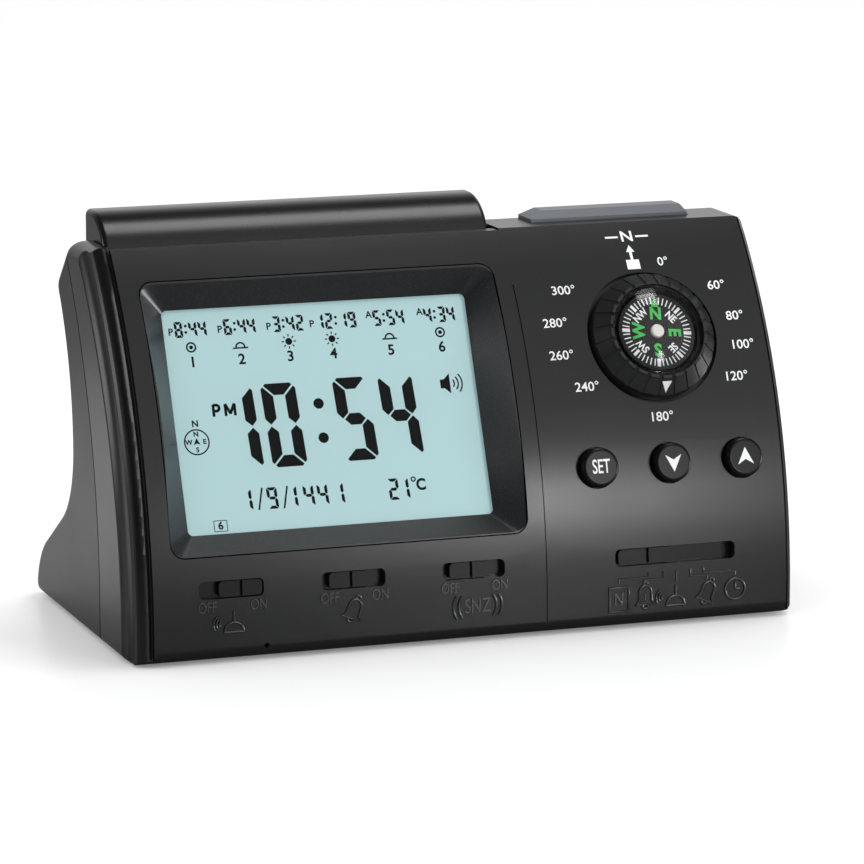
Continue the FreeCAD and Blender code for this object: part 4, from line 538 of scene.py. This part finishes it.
def panel_print():
    """White print round the dial: bearings in degrees, and the north arrow above it."""
    drawing = Drawing()

    def at(across, rise):
        return shifted(face_plane(PANEL_X, DIAL_LEAN, rise), across, 0)

    labels = (("300°", -20.7, 13.1), ("280°", -24.5, 4.7), ("260°", -24.3, -3.6),
              ("240°", -19.0, -11.8), ("60°", 19.4, 12.2), ("80°", 22.6, 3.9),
              ("100°", 23.2, -3.6), ("120°", 20.2, -11.5), ("180°", -0.7, -20.3))
    for text, across, rise in labels:
        drawing.words(at(across, rise), text, 2.35, stretch=1.05, heavy=0.03)
    drawing.words(at(-0.9, 26.9), "N", 3.0, stretch=1.1, heavy=0.07)
    for side in (-1, 1):
        drawing.line(at(-0.9, 26.9), (side * 2.4, 0), (side * 5.6, 0), 0.5)
    drawing.line(at(-0.95, 21.8), (0, -1.6), (0, 1.2), 0.7)
    drawing.prism(at(-0.95, 21.8), [(-1.1, 0.8), (1.1, 0.8), (0, 2.7)])
    drawing.prism(at(-0.95, 19.1), [(-1.7, -1.3), (1.7, -1.3), (1.7, 1.3), (-1.7, 1.3)])
    drawing.words(at(6.9, 19.4), "0°", 2.35, heavy=0.03)
    drawing.piece("panel_print", "case", white_print, "white_print")


def button_legends():
    """White legends on the round buttons."""
    names = (("set_legend", "set_cap", -1), ("down_legend", "down_cap", 0), ("up_legend", "up_cap", 1))
    for name, body, place in names:
        drawing = Drawing()
        top = shifted(face_plane(PANEL_X + BUTTON_PITCH * place, BUTTON_LEAN), 0, 0, BUTTON_RISE)
        if place < 0:
            drawing.words(top, "SET", 3.5, stretch=0.62, heavy=0.05)
        else:
            chevron = [(-2.1, 1.8), (0, -2.4), (2.1, 1.8), (0, 0.55)]
            if place > 0:
                chevron = [(-x, -y) for x, y in chevron]
            drawing.prism(top, chevron)
        drawing.piece(name, body, white_print, "white_print")


def card_marks():
    """The compass card: ticks, green points and white half points."""
    top = shifted(face_plane(PANEL_X, DIAL_LEAN), 0, 0, CARD_TOP, CARD_TURN)
    white, green = Drawing(), Drawing()
    ticks = 48
    for i in range(1, ticks):
        width = 0.9 if i % 12 == 0 else 0.75 if i % 6 == 0 else 0.30
        white.line(shifted(top, 0, 0, 0, -360 / ticks * i), (0, 7.1), (0, 8.8), width)
    for text, angle in (("NE", 45), ("SE", 135), ("SW", 225), ("NW", 315)):
        white.words(shifted(shifted(top, 0, 0, 0, -angle), 0, 5.5), text, 1.95, stretch=0.85, heavy=0.07)
    for text, angle in (("N", 0), ("E", 90), ("S", 180), ("W", 270)):
        green.words(shifted(shifted(top, 0, 0, 0, -angle), 0, 4.5), text, 3.1, stretch=0.95, heavy=0.16)
    green.prism(top, [(-0.95, 6.35), (0.95, 6.35), (0, 8.9)])
    white.piece("card_white_marks", "card", white_print, "white_print")
    green.piece("card_green_marks", "card", green_print, "green_print")


def ring_pointer():
    """The white pointer on the sloping rim of the dial ring."""
    centre = face_plane(PANEL_X, DIAL_LEAN)
    drawing = Drawing()
    cone_in, cone_out = (12.6, 4.35), (15.6, 1.3)

    def on_cone(share, across):
        radius = cone_in[0] + (cone_out[0] - cone_in[0]) * share
        height = cone_in[1] + (cone_out[1] - cone_in[1]) * share
        return Vector((across, -radius, height + 0.03))

    corners = [on_cone(0.12, -1.25), on_cone(0.85, 0.0), on_cone(0.12, 1.25)]
    lifted = [corner + Vector((0, -0.03, 0.04)) for corner in corners]
    drawing.close([centre @ corner for corner in corners], [centre @ corner for corner in lifted])
    drawing.piece("ring_pointer", "ring", white_print, "white_print")


# Moulded marks under the switches

def bell(drawing, base, turn=0.0):
    """A bell with a loop and a clapper."""
    base = shifted(base, 0, 0, 0, turn)
    sides = arc(0, 1.2, 1.55, 180, 0, 12)
    outline = [(-2.5, -2.0), (-1.65, -1.0)] + sides + [(1.65, -1.0), (2.5, -2.0)]
    drawing.bead(base, outline, closed=True)
    drawing.bead(base, arc(0, 3.3, 0.55, 0, 360, 10), BEAD * 0.8)
    drawing.bead(base, arc(0, -2.1, 0.8, 180, 360, 8))


def night_light(drawing, base):
    """A dome with a small spire and sound waves to its left."""
    drawing.bead(base, [(-1.6, -2.4), (3.6, -2.4)])
    drawing.bead(base, [(-1.4, -2.2)] + arc(1.0, -2.0, 2.3, 180, 0, 12, 0.85) + [(3.4, -2.2)])
    drawing.bead(base, [(1.0, 0.0), (1.0, 2.6)])
    for radius in (0.8, 1.5, 2.2):
        drawing.bead(base, arc(-1.9, -0.4, radius, 120, 215, 6), BEAD * 0.9)


def clock_mark(drawing, base):
    """A round clock with two hands."""
    drawing.bead(base, arc(0, 0, 2.6, 0, 350, 22), closed=True)
    drawing.bead(base, [(0, 1.7), (0, 0), (1.3, 0)])


def moulded_marks():
    """ON and OFF, and what each switch and each place of the last one is for."""
    drawing = Drawing()
    slots = [SCREEN_X - SWITCH_PITCH, SCREEN_X, SCREEN_X + SWITCH_PITCH]
    raised = {"stretch": 0.72, "thick": 0.16, "round_edge": 0.05}
    for x in slots:
        for text, dx in (("OFF", -6.1), ("ON", 6.6)):
            drawing.words(face_at_height(x + dx, 12.9), text, 2.7, **raised)
    night_light(drawing, face_at_height(slots[0] - 0.6, 9.2))
    bell(drawing, face_at_height(slots[1] - 0.2, 9.6), -22)
    drawing.words(face_at_height(slots[2] + 0.8, 8.2), "SNZ", 3.6, **raised)
    middle = face_at_height(slots[2] + 0.8, 8.2)
    for side, angles in ((-1, (142, 218)), (1, (-38, 38))):
        for reach in (0.4, 1.8):
            drawing.bead(middle, arc(side * reach, 0, 4.4, *angles, steps=10))
    level = MODE_MARK_HEIGHT
    box = face_at_height(37.6, level)
    drawing.bead(box, [(-2.5, -3.0), (2.5, -3.0), (2.5, 3.0), (-2.5, 3.0)], closed=True)
    drawing.words(box, "N", 3.4, stretch=0.7, thick=0.16, round_edge=0.05)
    bell(drawing, face_at_height(44.5, level + 0.2))
    drawing.words(face_at_height(44.5, level + 0.1), "1", 1.7, thick=0.1, round_edge=0.04)
    night_light(drawing, face_at_height(51.4, level))
    bell(drawing, face_at_height(60.7, level), -22)
    clock_mark(drawing, face_at_height(68.1, level + 0.4))
    stops = ((37.6, 45.3, 11.9), (44.5, 49.3, 11.3), (52.6, 52.6, 11.3), (60.7, 56.3, 11.3),
             (68.1, 59.8, 11.9))
    for icon_x, stop_x, corner in stops:
        aside, rise = stop_x - icon_x, 13.2 - corner
        route = [(0, -1.0), (0, 0), (aside, 0), (aside, rise)] if aside else [(0, -1.0), (0, rise)]
        drawing.bead(face_at_height(icon_x, corner), route, BEAD * 0.75)
    drawing.piece("moulded_marks", "case", mark_black, "front_case")


def door_arrow():
    """A moulded arrow on the battery door that shows which way it slides."""
    drawing = Drawing()
    low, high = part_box("battery_door")
    middle = Vector(((low.x + high.x) / 2, (low.y + high.y) / 2 + 4 * MM, low.z + 0.02 * MM))
    under = Matrix.Translation(middle) @ Matrix.Rotation(math.pi, 4, "X") @ Matrix.Scale(MM, 4)
    drawing.bead(under, [(-3, 0), (3, 0), (0, -5)], 0.25, closed=True)
    drawing.piece("door_arrow", "door", rear_black, "rear_case")


display_marks()
panel_print()
button_legends()
card_marks()
ring_pointer()
moulded_marks()
door_arrow()


# Studio

FLOOR_HALF = 3.0
FLOOR_PALE = 0.78
# Next: the floor's darker colour far from the clock, painted shade seen only in reflections; the
# camera's lift to white; and the middle of a painted pool of light seen only in reflections
FLOOR_FAR_PAINTED_SHADE = 0.22
FLOOR_LIFT = 0.16
FLOOR_PAINTED_POOL_CENTRE = (-0.13, 0.17, 0.0)
SHEET_WHITE = 1.0
CARD_DIRECTION = (0.426, -0.800, 0.423)
CARD_LIGHT = 0.80
ROOM_LIGHT = 0.03


def floor_material():
    """A pale floor: white to the camera; to reflections, a painted pool of light near the clock, behind
    it on its left, and painted shade further from the clock.
    """
    made = bpy.data.materials.new("studio_floor")
    made.use_nodes = True
    tree = made.node_tree
    shader = tree.nodes["Principled BSDF"]
    shader.inputs["Roughness"].default_value = 0.30
    shader.inputs["Specular IOR Level"].default_value = 0.08
    place = tree.nodes.new("ShaderNodeTexCoord")
    reach = tree.nodes.new("ShaderNodeVectorMath")
    reach.operation = "DISTANCE"
    reach.inputs[1].default_value = FLOOR_PAINTED_POOL_CENTRE
    tree.links.new(place.outputs["Object"], reach.inputs[0])
    # Painted pool of light: to reflections the floor is pale near that middle and darker beyond it
    painted_pool = ramp(tree, reach.outputs["Value"], 0.08, 0.23, 1.0, 0.0)
    camera_ray = tree.nodes.new("ShaderNodeLightPath").outputs["Is Camera Ray"]
    colour = tree.nodes.new("ShaderNodeMix")
    colour.data_type = "RGBA"
    colour.inputs["A"].default_value = (FLOOR_FAR_PAINTED_SHADE, FLOOR_FAR_PAINTED_SHADE, FLOOR_FAR_PAINTED_SHADE, 1)
    colour.inputs["B"].default_value = (FLOOR_PALE, FLOOR_PALE, FLOOR_PALE, 1)
    tree.links.new(maths(tree, "MAXIMUM", camera_ray, painted_pool), colour.inputs["Factor"])
    tree.links.new(colour.outputs["Result"], shader.inputs["Base Color"])
    lift = tree.nodes.new("ShaderNodeEmission")
    tree.links.new(maths(tree, "MULTIPLY", camera_ray, FLOOR_LIFT), lift.inputs["Strength"])
    both = tree.nodes.new("ShaderNodeAddShader")
    tree.links.new(shader.outputs["BSDF"], both.inputs[0])
    tree.links.new(lift.outputs["Emission"], both.inputs[1])
    tree.links.new(both.outputs["Shader"], tree.nodes["Material Output"].inputs["Surface"])
    return made


def studio_floor():
    """One flat sheet under the clock."""
    half = FLOOR_HALF
    corners = [(-half, -half, 0), (half, -half, 0), (half, half, 0), (-half, half, 0)]
    mesh = bpy.data.meshes.new("floor")
    mesh.from_pydata(corners, [], [(0, 1, 2, 3)])
    mesh.materials.append(floor_material())
    made = bpy.data.objects.new("floor", mesh)
    bpy.context.scene.collection.objects.link(made)


def studio_world():
    """White to the camera; in reflections a white sheet low behind, a card in front, and a dark room."""
    world = bpy.data.worlds.new("studio")
    bpy.context.scene.world = world
    world.use_nodes = True
    tree = world.node_tree
    direction = tree.nodes.new("ShaderNodeTexCoord").outputs["Generated"]
    apart = tree.nodes.new("ShaderNodeSeparateXYZ")
    tree.links.new(direction, apart.inputs[0])
    behind = ramp(tree, apart.outputs["Y"], 0.1, 0.7, 0.0, 1.0)
    low = ramp(tree, apart.outputs["Z"], 0.35, 0.80, 1.0, 0.0)
    right = ramp(tree, apart.outputs["X"], -0.50, 0.0, 0.15, 1.0)
    sheet = maths(tree, "MULTIPLY", maths(tree, "MULTIPLY", behind, low), right)
    towards = tree.nodes.new("ShaderNodeVectorMath")
    towards.operation = "DOT_PRODUCT"
    towards.inputs[1].default_value = CARD_DIRECTION
    tree.links.new(direction, towards.inputs[0])
    card = ramp(tree, towards.outputs["Value"], 0.64, 0.95, ROOM_LIGHT, CARD_LIGHT)
    path = tree.nodes.new("ShaderNodeLightPath").outputs
    mirrored = blend(tree, sheet, card, SHEET_WHITE)
    lit = blend(tree, path["Is Glossy Ray"], 1.0, mirrored)
    seen = maths(tree, "MAXIMUM", path["Is Camera Ray"], path["Is Transmission Ray"])
    background = tree.nodes["Background"]
    background.inputs["Color"].default_value = (1, 1, 1, 1)
    tree.links.new(blend(tree, seen, lit, SHEET_WHITE), background.inputs["Strength"])


def bearing(azimuth, elevation):
    """The direction from the clock to something round it, from two angles in degrees."""
    a, e = math.radians(azimuth), math.radians(elevation)
    return Vector((math.sin(a) * math.cos(e), -math.cos(a) * math.cos(e), math.sin(e)))


def softbox(name, azimuth, elevation, distance, wide, tall, brightness):
    """A lamp that looks at the clock. Azimuth 0 is in front of it and 90 to its right."""
    lamp = bpy.data.lights.new(name, "AREA")
    lamp.shape = "RECTANGLE"
    lamp.size = wide
    lamp.size_y = tall
    lamp.energy = brightness * math.pi * wide * tall
    made = bpy.data.objects.new(name, lamp)
    back = bearing(azimuth, elevation)
    made.location = Vector((0, 0, 0.05)) + back * distance
    made.rotation_euler = back.to_track_quat("Z", "Y").to_euler()
    bpy.context.scene.collection.objects.link(made)


def camera():
    """The photograph's view, fitted to the edges of the case."""
    target = Vector((-10.58, -42.2, 52.07)) * MM
    back = bearing(azimuth=-19.894, elevation=11.346)
    distance = 1107.86 * MM
    roll = 0.002404
    data = bpy.data.cameras.new("photo_camera")
    data.lens = 195.09
    data.sensor_width = 36.0
    data.clip_start = 0.05
    made = bpy.data.objects.new("photo_camera", data)
    made.location = target + back * distance
    made.rotation_mode = "QUATERNION"
    level = (-back).to_track_quat("-Z", "Y")
    made.rotation_quaternion = level @ Matrix.Rotation(roll, 3, "Z").to_quaternion()
    bpy.context.scene.collection.objects.link(made)
    bpy.context.scene.camera = made


studio_floor()
studio_world()
softbox("overhead", azimuth=95, elevation=73, distance=1.2, wide=0.50, tall=0.42, brightness=5.5)
softbox("panel_strip", azimuth=21, elevation=7, distance=0.50, wide=0.05, tall=0.10, brightness=24)
softbox("right_side", azimuth=70.5, elevation=-2.6, distance=0.48, wide=0.10, tall=0.045,
        brightness=45)
softbox("left_side", azimuth=-98, elevation=12, distance=0.9, wide=0.45, tall=0.26, brightness=4)
camera()
bpy.context.scene.view_settings.view_transform = "Standard"
